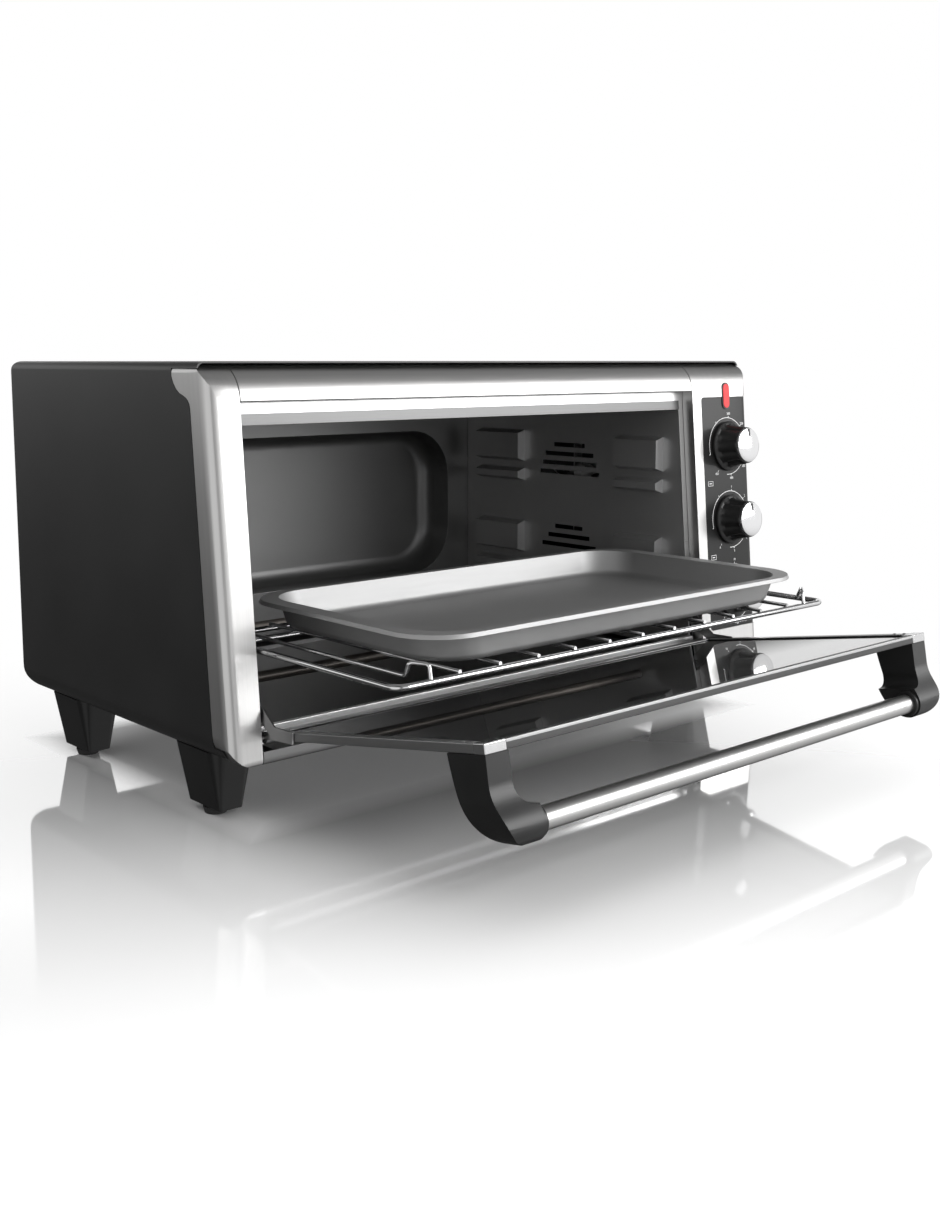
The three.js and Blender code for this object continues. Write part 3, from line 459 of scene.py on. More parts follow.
def refined(name, look, width=0.4 * mm, steps=2, angle=40, smooth=40):
    # a CAD node's own shape with merged points and rounded edges
    piece = nodes[name].copy()
    piece.data = nodes[name].data.copy()
    for key in list(piece.keys()):
        del piece[key]
    piece.parent = None
    bpy.context.scene.collection.objects.link(piece)
    edit(piece, "VERT")
    bpy.ops.mesh.select_all(action="SELECT")
    bpy.ops.mesh.remove_doubles(threshold=0.000004)
    bpy.ops.mesh.dissolve_limited(angle_limit=math.radians(0.6))
    leave()
    bpy.ops.mesh.customdata_custom_splitnormals_clear()
    if width:
        soften(piece, width, steps, angle, smooth)
    else:
        bpy.ops.object.shade_smooth_by_angle(angle=math.radians(smooth))
    return settle(piece, name + "_finished", look, nodes[name]["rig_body"], None, [name])


def bentWire(points, radius, bend, sides=3, name="wire"):
    # a wire of round section through points, with rounded corners, as a mesh
    points = [Vector(point) for point in points]
    stops = [(points[0], None, None)]
    for before, corner, after in zip(points, points[1:], points[2:]):
        come, go = (corner - before).normalized(), (after - corner).normalized()
        first, second = corner - come * bend, corner + go * bend
        stops += [(first, None, first + come * bend * 0.55), (second, second - go * bend * 0.55, None)]
    stops.append((points[-1], None, None))
    bpy.ops.object.select_all(action="DESELECT")
    bpy.ops.curve.primitive_bezier_curve_add()
    wire = bpy.context.active_object
    spline = wire.data.splines[0]
    spline.bezier_points.add(len(stops) - 2)
    for i, (point, (at, left, right)) in enumerate(zip(spline.bezier_points, stops)):
        point.handle_left_type = point.handle_right_type = "FREE"
        point.co = at
        before, after = stops[max(i - 1, 0)][0], stops[min(i + 1, len(stops) - 1)][0]
        point.handle_left = left if left is not None else at + (before - at) / 3
        point.handle_right = right if right is not None else at + (after - at) / 3
    wire.data.resolution_u = 6
    wire.data.bevel_depth, wire.data.bevel_resolution = radius, sides
    wire.data.use_fill_caps = True
    bpy.ops.object.convert(target="MESH")
    wire = bpy.context.active_object
    edit(wire, "VERT")
    bpy.ops.mesh.select_all(action="SELECT")
    bpy.ops.mesh.remove_doubles(threshold=0.000002)
    bpy.ops.mesh.dissolve_limited(angle_limit=math.radians(0.3))
    bpy.ops.mesh.normals_make_consistent(inside=False)
    leave()
    bpy.ops.object.shade_smooth_by_angle(angle=math.radians(50))
    return wire


# camera, floor and light
cameraSettings = {
    "at": (-0.715, dialAt.y - 0.736926, 0.3045),
    "turn": (82.885, 0, -42.36),
    "lens": 40.48,
    "shift": (-0.0135, -0.063),
}
cameraData = bpy.data.cameras.new("camera")
camera = bpy.data.objects.new("camera", cameraData)
bpy.context.scene.collection.objects.link(camera)
camera.location = cameraSettings["at"]
camera.rotation_euler = [math.radians(turn) for turn in cameraSettings["turn"]]
cameraData.lens, cameraData.sensor_width = cameraSettings["lens"], 36
cameraData.shift_x, cameraData.shift_y = cameraSettings["shift"]
cameraData.clip_start, cameraData.clip_end = 0.01, 60
bpy.context.scene.camera = camera

floorSettings = {
    "size": 16.0,
    "white": 0.82,
    "rough": 0.035,
    "mirror": 3.0,
    "turn": 42.36,  # of the view
    "fade": (-0.88, -0.02),  # where the mirror image starts and is full
    "underWidth": (0.235, 0.265),  # half width of the floor in the oven's shadow
    "underLength": (0.14, 0.17),
    "middle": 0.10,
    "far": (0.45, 1.15),
}


def glossFloor():
    finish = Finish("glossFloor")
    white = floorSettings["white"]
    tone = finish.tones(finish.noise(3), grey(white), grey(white + 0.02))
    matt = finish.add("ShaderNodeBsdfDiffuse", None, {"Color": tone})
    rough = floorSettings["rough"] + finish.noise(5) * 0.02
    gloss = finish.add("ShaderNodeBsdfGlossy", None, {"Color": grey(1.0), "Roughness": rough})
    # the mirror image fades out towards the viewer
    turned = {"Vector": finish.spot(), "Rotation": (0, 0, math.radians(floorSettings["turn"]))}
    across = finish.out(finish.add("ShaderNodeMapping", None, turned))
    depth = finish.out(finish.add("ShaderNodeSeparateXYZ", None, {"Vector": across}), 1)
    fade = finish.spread(depth, *floorSettings["fade"], "SMOOTHSTEP")
    grazing = finish.out(finish.add("ShaderNodeFresnel", None, {"IOR": 1.5}))
    # and there is none under the oven, where the floor lies in its shadow
    at = finish.add("ShaderNodeSeparateXYZ", None, {"Vector": finish.spot()})
    sideways = finish.maths("ABSOLUTE", finish.out(at, 0))
    lengthways = finish.maths("ABSOLUTE", finish.out(at, 1) - floorSettings["middle"])
    clear = finish.maths(
        "MAXIMUM",
        finish.spread(sideways, *floorSettings["underWidth"]),
        finish.spread(lengthways, *floorSettings["underLength"]),
    )
    near = finish.blend(fade * grazing * clear * floorSettings["mirror"], matt, gloss)
    # far from the oven the floor turns into the white of the room
    away = finish.add("ShaderNodeVectorMath", {"operation": "LENGTH"}, {0: finish.spot()})
    farOff = finish.spread(finish.out(away, 1), *floorSettings["far"], "SMOOTHSTEP")
    room = finish.add("ShaderNodeEmission", None, {"Color": grey(1.0), "Strength": 1.0})
    whole = finish.blend(farOff, near, room)
    finish.tree.links.new(whole.outputs[0], finish.last.inputs[0])
    return finish.material


bpy.ops.object.select_all(action="DESELECT")
bpy.ops.mesh.primitive_plane_add(size=floorSettings["size"])
floor = bpy.context.active_object
floor.name = "floor"
floor.data.materials.append(glossFloor())
floor.visible_glossy = False


def softbox(name, at, aim, size, power, mirrored=True):
    data = bpy.data.lights.new(name, "AREA")
    data.shape, data.size, data.size_y = "RECTANGLE", size[0], size[1]
    data.energy = power
    lamp = bpy.data.objects.new(name, data)
    bpy.context.scene.collection.objects.link(lamp)
    lamp.location = at
    lamp.rotation_euler = (Vector(aim) - Vector(at)).to_track_quat("-Z", "Y").to_euler()
    lamp.visible_glossy = mirrored
    return lamp


softbox("ceilingLight", (0.0, -0.2, 3.0), (0, -0.2, 0), (6.0, 6.0), 150, False)
softbox("frontLight", (1.5, -2.0, 0.9), (0.0, 0, 0.15), (1.8, 1.3), 42)
softbox("cavityLight", (-0.25, -1.3, 0.75), (-0.05, 0.2, 0.15), (0.7, 0.4), 9, False)

# bright round the horizon, dark overhead; heights run from -1 straight down to 1 straight up
roomLight = {
    "inFront": [(-1.0, 0.25), (-0.5, 0.6), (-0.1, 1.0), (0.34, 1.0), (0.50, 0.30), (1.0, 0.22)],
    "behind": [
        (-1.0, 0.04),
        (-0.12, 0.09),
        (-0.005, 0.14),
        (0.005, 1.0),
        (0.36, 1.0),
        (0.42, 0.08),
        (0.52, 0.08),
        (0.64, 0.22),
        (1.0, 0.22),
    ],
    "panel": [(-1.0, 1.0), (-0.58, 1.0), (-0.46, 0.25), (-0.30, 0.25), (-0.16, 1.0)],  # left to right
    "frontEnds": (-0.15, 0.2),  # the front turns into the back between these
}
world = bpy.data.worlds.new("studio")
bpy.context.scene.world = world
world.use_nodes = True
worldTree = world.node_tree
worldTree.nodes.clear()
worldOut = worldTree.nodes.new("ShaderNodeOutputWorld")
seen = worldTree.nodes.new("ShaderNodeBackground")
seen.inputs["Color"].default_value, seen.inputs["Strength"].default_value = (1, 1, 1, 1), 1.0
way = worldTree.nodes.new("ShaderNodeTexCoord")
parts = worldTree.nodes.new("ShaderNodeSeparateXYZ")
room = worldTree.nodes.new("ShaderNodeBackground")


def worldRamp(stops, axis=2):
    # brightness by height, or along another axis
    scaled = worldTree.nodes.new("ShaderNodeMapRange")
    scaled.inputs[1].default_value, scaled.inputs[2].default_value = -1, 1
    worldTree.links.new(parts.outputs[axis], scaled.inputs[0])
    ramp = worldTree.nodes.new("ShaderNodeValToRGB")
    for i, (at, level) in enumerate(stops):
        stop = ramp.color_ramp.elements[i] if i < 2 else ramp.color_ramp.elements.new((at + 1) / 2)
        stop.position, stop.color = (at + 1) / 2, grey(level)
    worldTree.links.new(scaled.outputs[0], ramp.inputs[0])
    return ramp.outputs[0]


inFront = worldRamp(roomLight["inFront"])
behind = worldRamp(roomLight["behind"])
side = worldTree.nodes.new("ShaderNodeMapRange")
side.inputs[1].default_value, side.inputs[2].default_value = roomLight["frontEnds"]
worldTree.links.new(parts.outputs[1], side.inputs[0])
roundTheRoom = worldTree.nodes.new("ShaderNodeMix")
roundTheRoom.data_type = "RGBA"
worldTree.links.new(side.outputs[0], roundTheRoom.inputs[0])
# a dark upright panel beside the viewer, seen as a stripe in the round edges
panel = worldRamp(roomLight["panel"], 0)
shaded = worldTree.nodes.new("ShaderNodeMix")
shaded.data_type, shaded.blend_type = "RGBA", "MULTIPLY"
shaded.inputs[0].default_value = 1.0
worldTree.links.new(inFront, shaded.inputs[6])
worldTree.links.new(panel, shaded.inputs[7])
worldTree.links.new(shaded.outputs[2], roundTheRoom.inputs[6])
worldTree.links.new(behind, roundTheRoom.inputs[7])
worldTree.links.new(roundTheRoom.outputs[2], room.inputs[0])
ray = worldTree.nodes.new("ShaderNodeLightPath")
mixed = worldTree.nodes.new("ShaderNodeMixShader")
worldTree.links.new(way.outputs["Generated"], parts.inputs[0])
worldTree.links.new(ray.outputs["Is Camera Ray"], mixed.inputs[0])
worldTree.links.new(room.outputs[0], mixed.inputs[1])
worldTree.links.new(seen.outputs[0], mixed.inputs[2])
worldTree.links.new(mixed.outputs[0], worldOut.inputs[0])
bpy.context.scene.view_settings.view_transform = "Standard"
print("camera, floor and lights set")

# sheet metal, plastic and the works: the CAD shapes with their edges rounded
plain = {
    "outer_case": ("paint", 0.5),
    "rear_cover": ("paint", 0.4),
    "base_plate": ("zinc", 0),
    "cord_gland": ("plastic", 0.4),
    "front_frame": ("sill", 0.25),
    "left_end_trim": ("upright", 0.5),
    "header_trim": ("across", 0.4),
    "control_bezel": ("upright", 0.5),
    "control_panel": ("panel", 0.3),
    "indicator_lens": ("red", 0.5),
    "indicator_lamp": ("lamp", 0),
    "cavity_left_wall": ("cavity", 0.3),
    # right wall gets the copy painted lighter as if lit
    "cavity_right_wall": ("cavitySide", 0.3),
    "cavity_back": ("cavity", 0.3),
    "cavity_ceiling": ("cavity", 0.3),
    "sill_strip": ("sill", 0.4),
    "upper_element_front": ("element", 0),
    "upper_element_back": ("element", 0),
    "lower_element_front": ("element", 0),
    "lower_element_back": ("element", 0),
    "crumb_tray": ("cavity", 0.3),
    "temperature_shaft": ("zinc", 0),
    "function_shaft": ("zinc", 0),
    "timer_shaft": ("zinc", 0),
    "thermostat": ("zinc", 0.3),
    "selector_switch": ("plastic", 0.3),
    "timer": ("zinc", 0.3),
    "timer_bell": ("zinc", 0),
    "fan_blade": ("zinc", 0.2),
    "fan_motor": ("zinc", 0.3),
    "door_glass": ("glass", 0.3),
    "door_left_rail": ("rail", 0.4),
    "door_right_rail": ("rail", 0.4),
    "door_top_rail": ("railDark", 0.4),
    "door_bottom_rail": ("railAcross", 0.4),
    "door_arm_left": ("zinc", 0.3),
    "door_arm_right": ("zinc", 0.3),
    "hinge_pin_left": ("zinc", 0.2),
    "hinge_pin_right": ("zinc", 0.2),
}
for corner in ("front_left", "front_right", "rear_left", "rear_right"):
    plain["foot_" + corner] = ("plastic", 0.8)
    plain["foot_pad_" + corner] = ("rubber", 0.4)
for name, (look, width) in plain.items():
    refined(name, look, width * mm)
print("plain pieces made:", len(plain))


# dials: a fluted black skirt, a plated domed face, a pointer notch
dial = {
    "flange": 21.4 * mm,
    "face": 14.6 * mm,
    "flutes": 9,
    "sides": 90,
    # radius and height in mm, from the flange outwards
    "skirt": [
        (20.6, 3.2),
        (18.9, 3.8),
        (18.2, 5.4),
        (17.3, 9.5),
        (16.4, 14.5),
        (15.9, 19.0),
        (15.5, 20.6),
        (15.0, 21.0),
    ],
    "dome": [(14.35, 22.7), (13.7, 23.0), (11.6, 23.45), (8.6, 23.85), (5.4, 24.1), (2.4, 24.22)],
}


def raiseRings(rings, radius, height):
    # draws the chosen face out through rings of radius and height
    for nextRadius, nextHeight in rings:
        bpy.ops.mesh.extrude_region_move(TRANSFORM_OT_translate={"value": (0, 0, nextHeight * mm - height)})
        scale = nextRadius * mm / radius
        bpy.ops.transform.resize(value=(scale, scale, 1), center_override=(0, 0, nextHeight * mm))
        radius, height = nextRadius * mm, nextHeight * mm


def makeDialSkirt():
    bpy.ops.object.select_all(action="DESELECT")
    bpy.ops.mesh.primitive_cylinder_add(
        vertices=dial["sides"], radius=dial["flange"], depth=2.2 * mm, location=(0, 0, 1.4 * mm)
    )
    skirt = bpy.context.active_object
    only(skirt)
    bpy.ops.object.transform_apply(location=True, rotation=True, scale=True)
    edit(skirt)
    pick("faces", lambda face: face.normal.z > 0.9)
    raiseRings(dial["skirt"], dial["flange"], 2.5 * mm)
    bpy.ops.mesh.inset(thickness=0.35 * mm)
    bpy.ops.mesh.extrude_region_move(TRANSFORM_OT_translate={"value": (0, 0, -2.0 * mm)})
    # finger hollows round the side
    step = dial["sides"] // dial["flutes"]

    def onSide(vertex):
        return 4.5 * mm < vertex.co.z < 19.5 * mm and vertex.co.xy.length > 14.5 * mm

    def fromHollow(vertex):
        # sides between the vertex and the nearest hollow's middle
        turn = math.degrees(math.atan2(vertex.co.y, vertex.co.x)) / 360 * dial["sides"]
        return abs((turn + step / 2) % step - step / 2)

    for reach, scale in ((1, 0.955), (2, 0.965), (3, 0.975)):
        pick("verts", lambda vertex: onSide(vertex) and fromHollow(vertex) < reach + 0.25)
        bpy.ops.transform.resize(value=(scale, scale, 1), center_override=(0, 0, 0))
    leave()
    soften(skirt, 0.25 * mm, 2, 50, 38)
    return skirt


def makeDialFace():
    bpy.ops.object.select_all(action="DESELECT")
    bpy.ops.mesh.primitive_cylinder_add(
        vertices=64, radius=dial["face"], depth=2.6 * mm, location=(0, 0, 20.9 * mm)
    )
    face = bpy.context.active_object
    only(face)
    bpy.ops.object.transform_apply(location=True, rotation=True, scale=True)
    edit(face)
    pick("faces", lambda part: part.normal.z > 0.9)
    raiseRings(dial["dome"], dial["face"], 22.2 * mm)
    leave()
    bpy.ops.object.shade_smooth_by_angle(angle=math.radians(32))
    return face


def makeDialNotch():
    bpy.ops.object.select_all(action="DESELECT")
    bpy.ops.mesh.primitive_cube_add(
        size=1, location=(0, 10.4 * mm, 23.45 * mm), scale=(2.3 * mm, 7.0 * mm, 1.1 * mm)
    )
    notch = bpy.context.active_object
    only(notch)
    bpy.ops.object.transform_apply(location=True, rotation=True, scale=True)
    edit(notch, "EDGE")
    pick("edges", lambda edge: abs(edge.verts[0].co.z - edge.verts[1].co.z) > 0.5 * mm)
    bpy.ops.mesh.bevel(offset=1.1 * mm, segments=5, affect="EDGES")
    pick("verts", lambda vertex: vertex.co.z > 23.5 * mm and vertex.co.y > 10.4 * mm)
    bpy.ops.transform.translate(value=(0, 0, -0.25 * mm))
    leave()
    soften(notch, 0.15 * mm, 2)
    return notch


def block(low, high):
    # a plain block between two corners
    bpy.ops.object.select_all(action="DESELECT")
    bpy.ops.mesh.primitive_cube_add(size=1, location=(low + high) / 2, scale=high - low)
    piece = bpy.context.active_object
    only(piece)
    bpy.ops.object.transform_apply(location=True, rotation=True, scale=True)
    return piece


def copied(piece):
    twin = piece.copy()
    twin.data = piece.data.copy()
    bpy.context.scene.collection.objects.link(twin)
    return twin


skirtModel, faceModel, notchModel = makeDialSkirt(), makeDialFace(), makeDialNotch()
for use in ("temperature", "function", "timer"):
    faceOut = Matrix.Rotation(math.pi / 2 - lean, 4, "X")
    turnedOut = Matrix.Translation(joints[use + "_turn"]["pos_m"]) @ faceOut
    body = use + "_control"
    settle(copied(skirtModel), use + "_dial_skirt", "plastic", body, turnedOut, [use + "_knob"])
    settle(copied(faceModel), use + "_dial_face", "knobChrome", body, turnedOut, [use + "_knob_face"])
    settle(copied(notchModel), use + "_dial_notch", "plastic", body, turnedOut)
for model in (skirtModel, faceModel, notchModel):
    bpy.data.objects.remove(model)
print("dials made")

# control panel print: rings, ticks and numbers
panelLow, panelHigh = localBox("control_panel", frontPlace)
graphic = {
    "ring": 24.6 * mm,
    "ringWidth": 0.45 * mm,
    "proud": 0.12 * mm,
    "text": 3.0 * mm,
    "figuresAt": (28.6, 28.2),  # mm from the dial's middle, sideways and up
    "edge": 3 * mm,
}


def flatBar(length, width, at, turn):
    bpy.ops.object.select_all(action="DESELECT")
    bpy.ops.mesh.primitive_cube_add(size=1, location=(at[0], at[1], 0), rotation=(0, 0, turn))
    bar = bpy.context.active_object
    bar.scale = (length, width, graphic["proud"])
    only(bar)
    bpy.ops.object.transform_apply(location=True, rotation=True, scale=True)
    return bar


def figure(text, at, height):
    bpy.ops.object.select_all(action="DESELECT")
    bpy.ops.object.text_add()
    words = bpy.context.active_object
    words.data.body = text
    words.data.align_x, words.data.align_y = "CENTER", "CENTER"
    words.data.size = height
    words.data.extrude = graphic["proud"] / 2
    words.data.resolution_u = 2
    bpy.ops.object.convert(target="MESH")
    words = bpy.context.active_object
    words.location = (at[0], at[1], 0)
    bpy.ops.object.transform_apply(location=True, rotation=True, scale=True)
    return words


def ring(centre, radius, width, start, end):
    # part of a thin ring, spun from one small face
    bpy.ops.object.select_all(action="DESELECT")
    bpy.ops.mesh.primitive_cube_add(size=1, location=(centre[0] + radius, centre[1], 0))
    band = bpy.context.active_object
    band.scale = (width, 0.02 * mm, graphic["proud"])
    only(band)
    bpy.ops.object.transform_apply(location=True, rotation=True, scale=True)
    edit(band)
    bpy.ops.mesh.select_all(action="SELECT")
    bpy.ops.transform.rotate(value=-start, orient_axis="Z", center_override=(centre[0], centre[1], 0))
    mesh = bmesh.from_edit_mesh(band.data)
    side = Vector((-math.sin(start), math.cos(start), 0))

    def ahead(face):
        # the face that looks along the spin
        arm = face.calc_center_median() - Vector((centre[0], centre[1], 0))
        return abs(face.normal.dot(side)) + (0.1 if arm.cross(side).z < 0 else 0)

    best = max(mesh.faces, key=ahead)
    for face in mesh.faces:
        face.select_set(face is best)
    bmesh.update_edit_mesh(band.data)
    steps = max(6, round(abs(end - start) / math.radians(5)))
    bpy.ops.mesh.spin(steps=steps, angle=end - start, center=(centre[0], centre[1], 0), axis=(0, 0, 1))
    bpy.ops.mesh.select_all(action="SELECT")
    bpy.ops.mesh.remove_doubles(threshold=0.000001)
    bpy.ops.mesh.normals_make_consistent(inside=False)
    leave()
    return band


marks = {
    "temperature": (["", "200", "250", "300", "350", "400", "450", ""], 0),
    "function": (["", "1", "2", "3", "4", "5", "6", ""], 1),
    "timer": (["", "10", "20", "30", "40", "50", "60", ""], 2),
}
printed = []
for use, (figures, row) in marks.items():
    at = frontPlace.inverted() @ Vector(joints[use + "_turn"]["pos_m"])
    centre = (at.x, at.z)
    printed.append(ring(centre, graphic["ring"], graphic["ringWidth"], math.radians(-165), math.radians(125)))
    for i, text in enumerate(figures):
        angle = math.radians(125 - i * 290 / (len(figures) - 1))
        where = Vector((math.cos(angle), math.sin(angle)))
        tick = Vector(centre) + where * (graphic["ring"] + 0.8 * mm)
        printed.append(flatBar(1.5 * mm, 0.5 * mm, tick, angle))
        if text:
            spot = Vector(centre) + where * Vector(graphic["figuresAt"]) * mm
            if panelLow.x + graphic["edge"] < spot.x < panelHigh.x - graphic["edge"]:
                printed.append(figure(text, spot, graphic["text"]))
    if row < 2:
        badge = (panelLow.x + 8.2 * mm, centre[1] - 31.5 * mm)
        for side in (-1, 1):
            printed.append(flatBar(6.4 * mm, 0.3 * mm, (badge[0], badge[1] + side * 1.9 * mm), 0))
            printed.append(flatBar(0.3 * mm, 3.8 * mm, (badge[0] + side * 3.2 * mm, badge[1]), 0))
        printed.append(flatBar(3.2 * mm, 0.7 * mm, badge, 0))
panelPrint = join(printed)
onPanel = Matrix.Translation((0, panelLow.y - graphic["proud"] * 0.4, 0))
printPlace = frontPlace @ onPanel @ Matrix.Rotation(math.pi / 2, 4, "X")
settle(panelPrint, "panel_print", "print", "oven", printPlace)
print("panel print made")

# baking pan: pressed tub with a rolled rim
panLow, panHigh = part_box("baking_pan")
pan = {
    "end": 12 * mm,
    "side": 6 * mm,
    "corner": 34 * mm,
    "draft": 5 * mm,
    "bottom": 5 * mm,
    "sheet": 0.9 * mm,
    "rim": 1.6 * mm,
}


def makePan():
    low, high = panLow.copy(), panHigh.copy()
    low.x, high.x = low.x + pan["end"], high.x - pan["end"]
    low.y, high.y = low.y + pan["side"], high.y - pan["side"]
    centre, size = (low + high) / 2, high - low
    bpy.ops.object.select_all(action="DESELECT")
    bpy.ops.mesh.primitive_cube_add(size=1, location=centre, scale=size)
    tub = bpy.context.active_object
    only(tub)
    bpy.ops.object.transform_apply(location=True, rotation=True, scale=True)
    edit(tub, "EDGE")
    pick("edges", lambda edge: abs(edge.verts[0].co.z - edge.verts[1].co.z) > 5 * mm)
    bpy.ops.mesh.bevel(offset=pan["corner"], segments=14, affect="EDGES")
    pick("faces", lambda face: face.normal.z < -0.9)
    narrow = (1 - 2 * pan["draft"] / size.x, 1 - 2 * pan["draft"] / size.y, 1)
    bpy.ops.transform.resize(value=narrow, center_override=(centre.x, centre.y, low.z))
    pick("edges", lambda edge: all(vertex.co.z < low.z + 0.1 * mm for vertex in edge.verts))
    bpy.ops.mesh.bevel(offset=pan["bottom"], segments=5, affect="EDGES")
    pick("faces", lambda face: face.normal.z > 0.9 and face.calc_center_median().z > high.z - 1 * mm)
    bpy.ops.mesh.delete(type="ONLY_FACE")
    top = high.z - 0.1 * mm
    pick("edges", lambda edge: edge.is_boundary and all(vertex.co.z > top for vertex in edge.verts))
    bpy.ops.mesh.extrude_edges_move()
    full = panHigh - panLow
    widen = ((full.x - pan["rim"]) / size.x, (full.y - pan["rim"]) / size.y, 1)
    bpy.ops.transform.resize(value=widen, center_override=(centre.x, centre.y, high.z))
    bpy.ops.mesh.extrude_edges_move(TRANSFORM_OT_translate={"value": (0, 0, -2.4 * mm)})
    bpy.ops.transform.resize(value=(1.0025, 1.0045, 1), center_override=(centre.x, centre.y, high.z))
    # a shallow raised field in the floor
    pick("faces", lambda face: face.normal.z < -0.9 and face.calc_center_median().z < low.z + 0.2 * mm)
    bpy.ops.mesh.inset(thickness=11 * mm)
    bpy.ops.mesh.inset(thickness=2.5 * mm)
    bpy.ops.transform.translate(value=(0, 0, 0.7 * mm))
    bpy.ops.mesh.select_all(action="SELECT")
    bpy.ops.mesh.flip_normals()
    leave()
    shell = tub.modifiers.new("sheet", "SOLIDIFY")
    shell.thickness, shell.offset = pan["sheet"], 1
    bpy.ops.object.modifier_apply(modifier="sheet")
    soften(tub, 0.3 * mm, 2, 50, 35)
    return tub


settle(makePan(), "baking_pan_pressed", "pan", "rack", None, ["baking_pan"])
print("pan made")

# wire rack
rackLow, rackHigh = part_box("wire_rack")
rack = {"edge": 2.1 * mm, "wire": 1.4 * mm, "bend": 9 * mm, "bars": 11, "inner": 17 * mm, "loop": 9 * mm}


def makeRack():
    x0, x1 = rackLow.x + rack["edge"], rackHigh.x - rack["edge"]
    y0, y1 = rackLow.y + rack["edge"], rackHigh.y - 0.5 * mm
    z = rackLow.z + rack["edge"]
    barZ = z + rack["edge"] + rack["wire"] - 0.6 * mm
    wires = [bentWire([(x0, y1, z), (x0, y0, z), (x1, y0, z), (x1, y1, z)], rack["edge"], rack["bend"])]
    for back in (y1, y1 - 28 * mm):
        wires.append(bentWire([(x0 - 0.5 * mm, back, z), (x1 + 0.5 * mm, back, z)], rack["edge"], 0))
    first = x0 + 48 * mm
    pitch = (x1 - x0 - 96 * mm) / (rack["bars"] - 1)
    for i in range(rack["bars"]):
        x = first + i * pitch
        wires.append(bentWire([(x, y0 - 0.5 * mm, barZ), (x, y1 + 0.5 * mm, barZ)], rack["wire"], 0, 2))
    for x, across in ((x0 + rack["inner"], rack["loop"]), (x1 - rack["inner"], -rack["loop"])):
        path = [
            (x, y1, barZ),
            (x, y0 + 13 * mm, barZ),
            (x, y0 + 9 * mm, barZ + 9 * mm),
            (x + across, y0 + 2 * mm, barZ + 7.5 * mm),
            (x + across, y0, z),
        ]
        wires.append(bentWire(path, rack["wire"], 2.2 * mm, 2))
    return join(wires)


settle(makeRack(), "wire_rack_bent", "rackChrome", "rack", None, ["wire_rack"])
print("rack made")

# handle: two hooked brackets and a brushed tube
leftLow, leftHigh = localBox("handle_bracket_left", doorPlace)
rightHigh = localBox("handle_bracket_right", doorPlace)[1]
barLow, barHigh = localBox("handle_bar", doorPlace)
handle = {
    "radius": (barHigh.z - barLow.z) / 2,
    "width": 17 * mm,
    "reach": 30 * mm,
    "collar": 9.5 * mm,
    "hub": 10.5 * mm,
    "round": 1.2 * mm,
}
barAt = Vector((0, (barLow.y + barHigh.y) / 2, (barLow.z + barHigh.z) / 2))
doorEnd = localBox("door_top_rail", doorPlace)[0].y


def outlineSlab(outline, thickness):
    # a closed outline of points and handles, given a thickness and made a mesh
    bpy.ops.object.select_all(action="DESELECT")
    bpy.ops.curve.primitive_bezier_circle_add()
    flat = bpy.context.active_object
    spline = flat.data.splines[0]
    spline.bezier_points.add(len(outline) - len(spline.bezier_points))
    for point, (at, before, after) in zip(spline.bezier_points, outline):
        point.handle_left_type = point.handle_right_type = "FREE"
        point.co = (at[0], at[1], 0)
        point.handle_left, point.handle_right = (before[0], before[1], 0), (after[0], after[1], 0)
    spline.use_cyclic_u = True
    flat.data.dimensions = "2D"
    flat.data.fill_mode = "BOTH"
    flat.data.resolution_u = 12
    flat.data.extrude = thickness / 2
    bpy.ops.object.convert(target="MESH")
    slab = bpy.context.active_object
    edit(slab, "VERT")
    bpy.ops.mesh.select_all(action="SELECT")
    bpy.ops.mesh.remove_doubles(threshold=0.000005)
    bpy.ops.mesh.dissolve_limited(angle_limit=math.radians(0.2))
    bpy.ops.mesh.normals_make_consistent(inside=False)
    leave()
    return slab


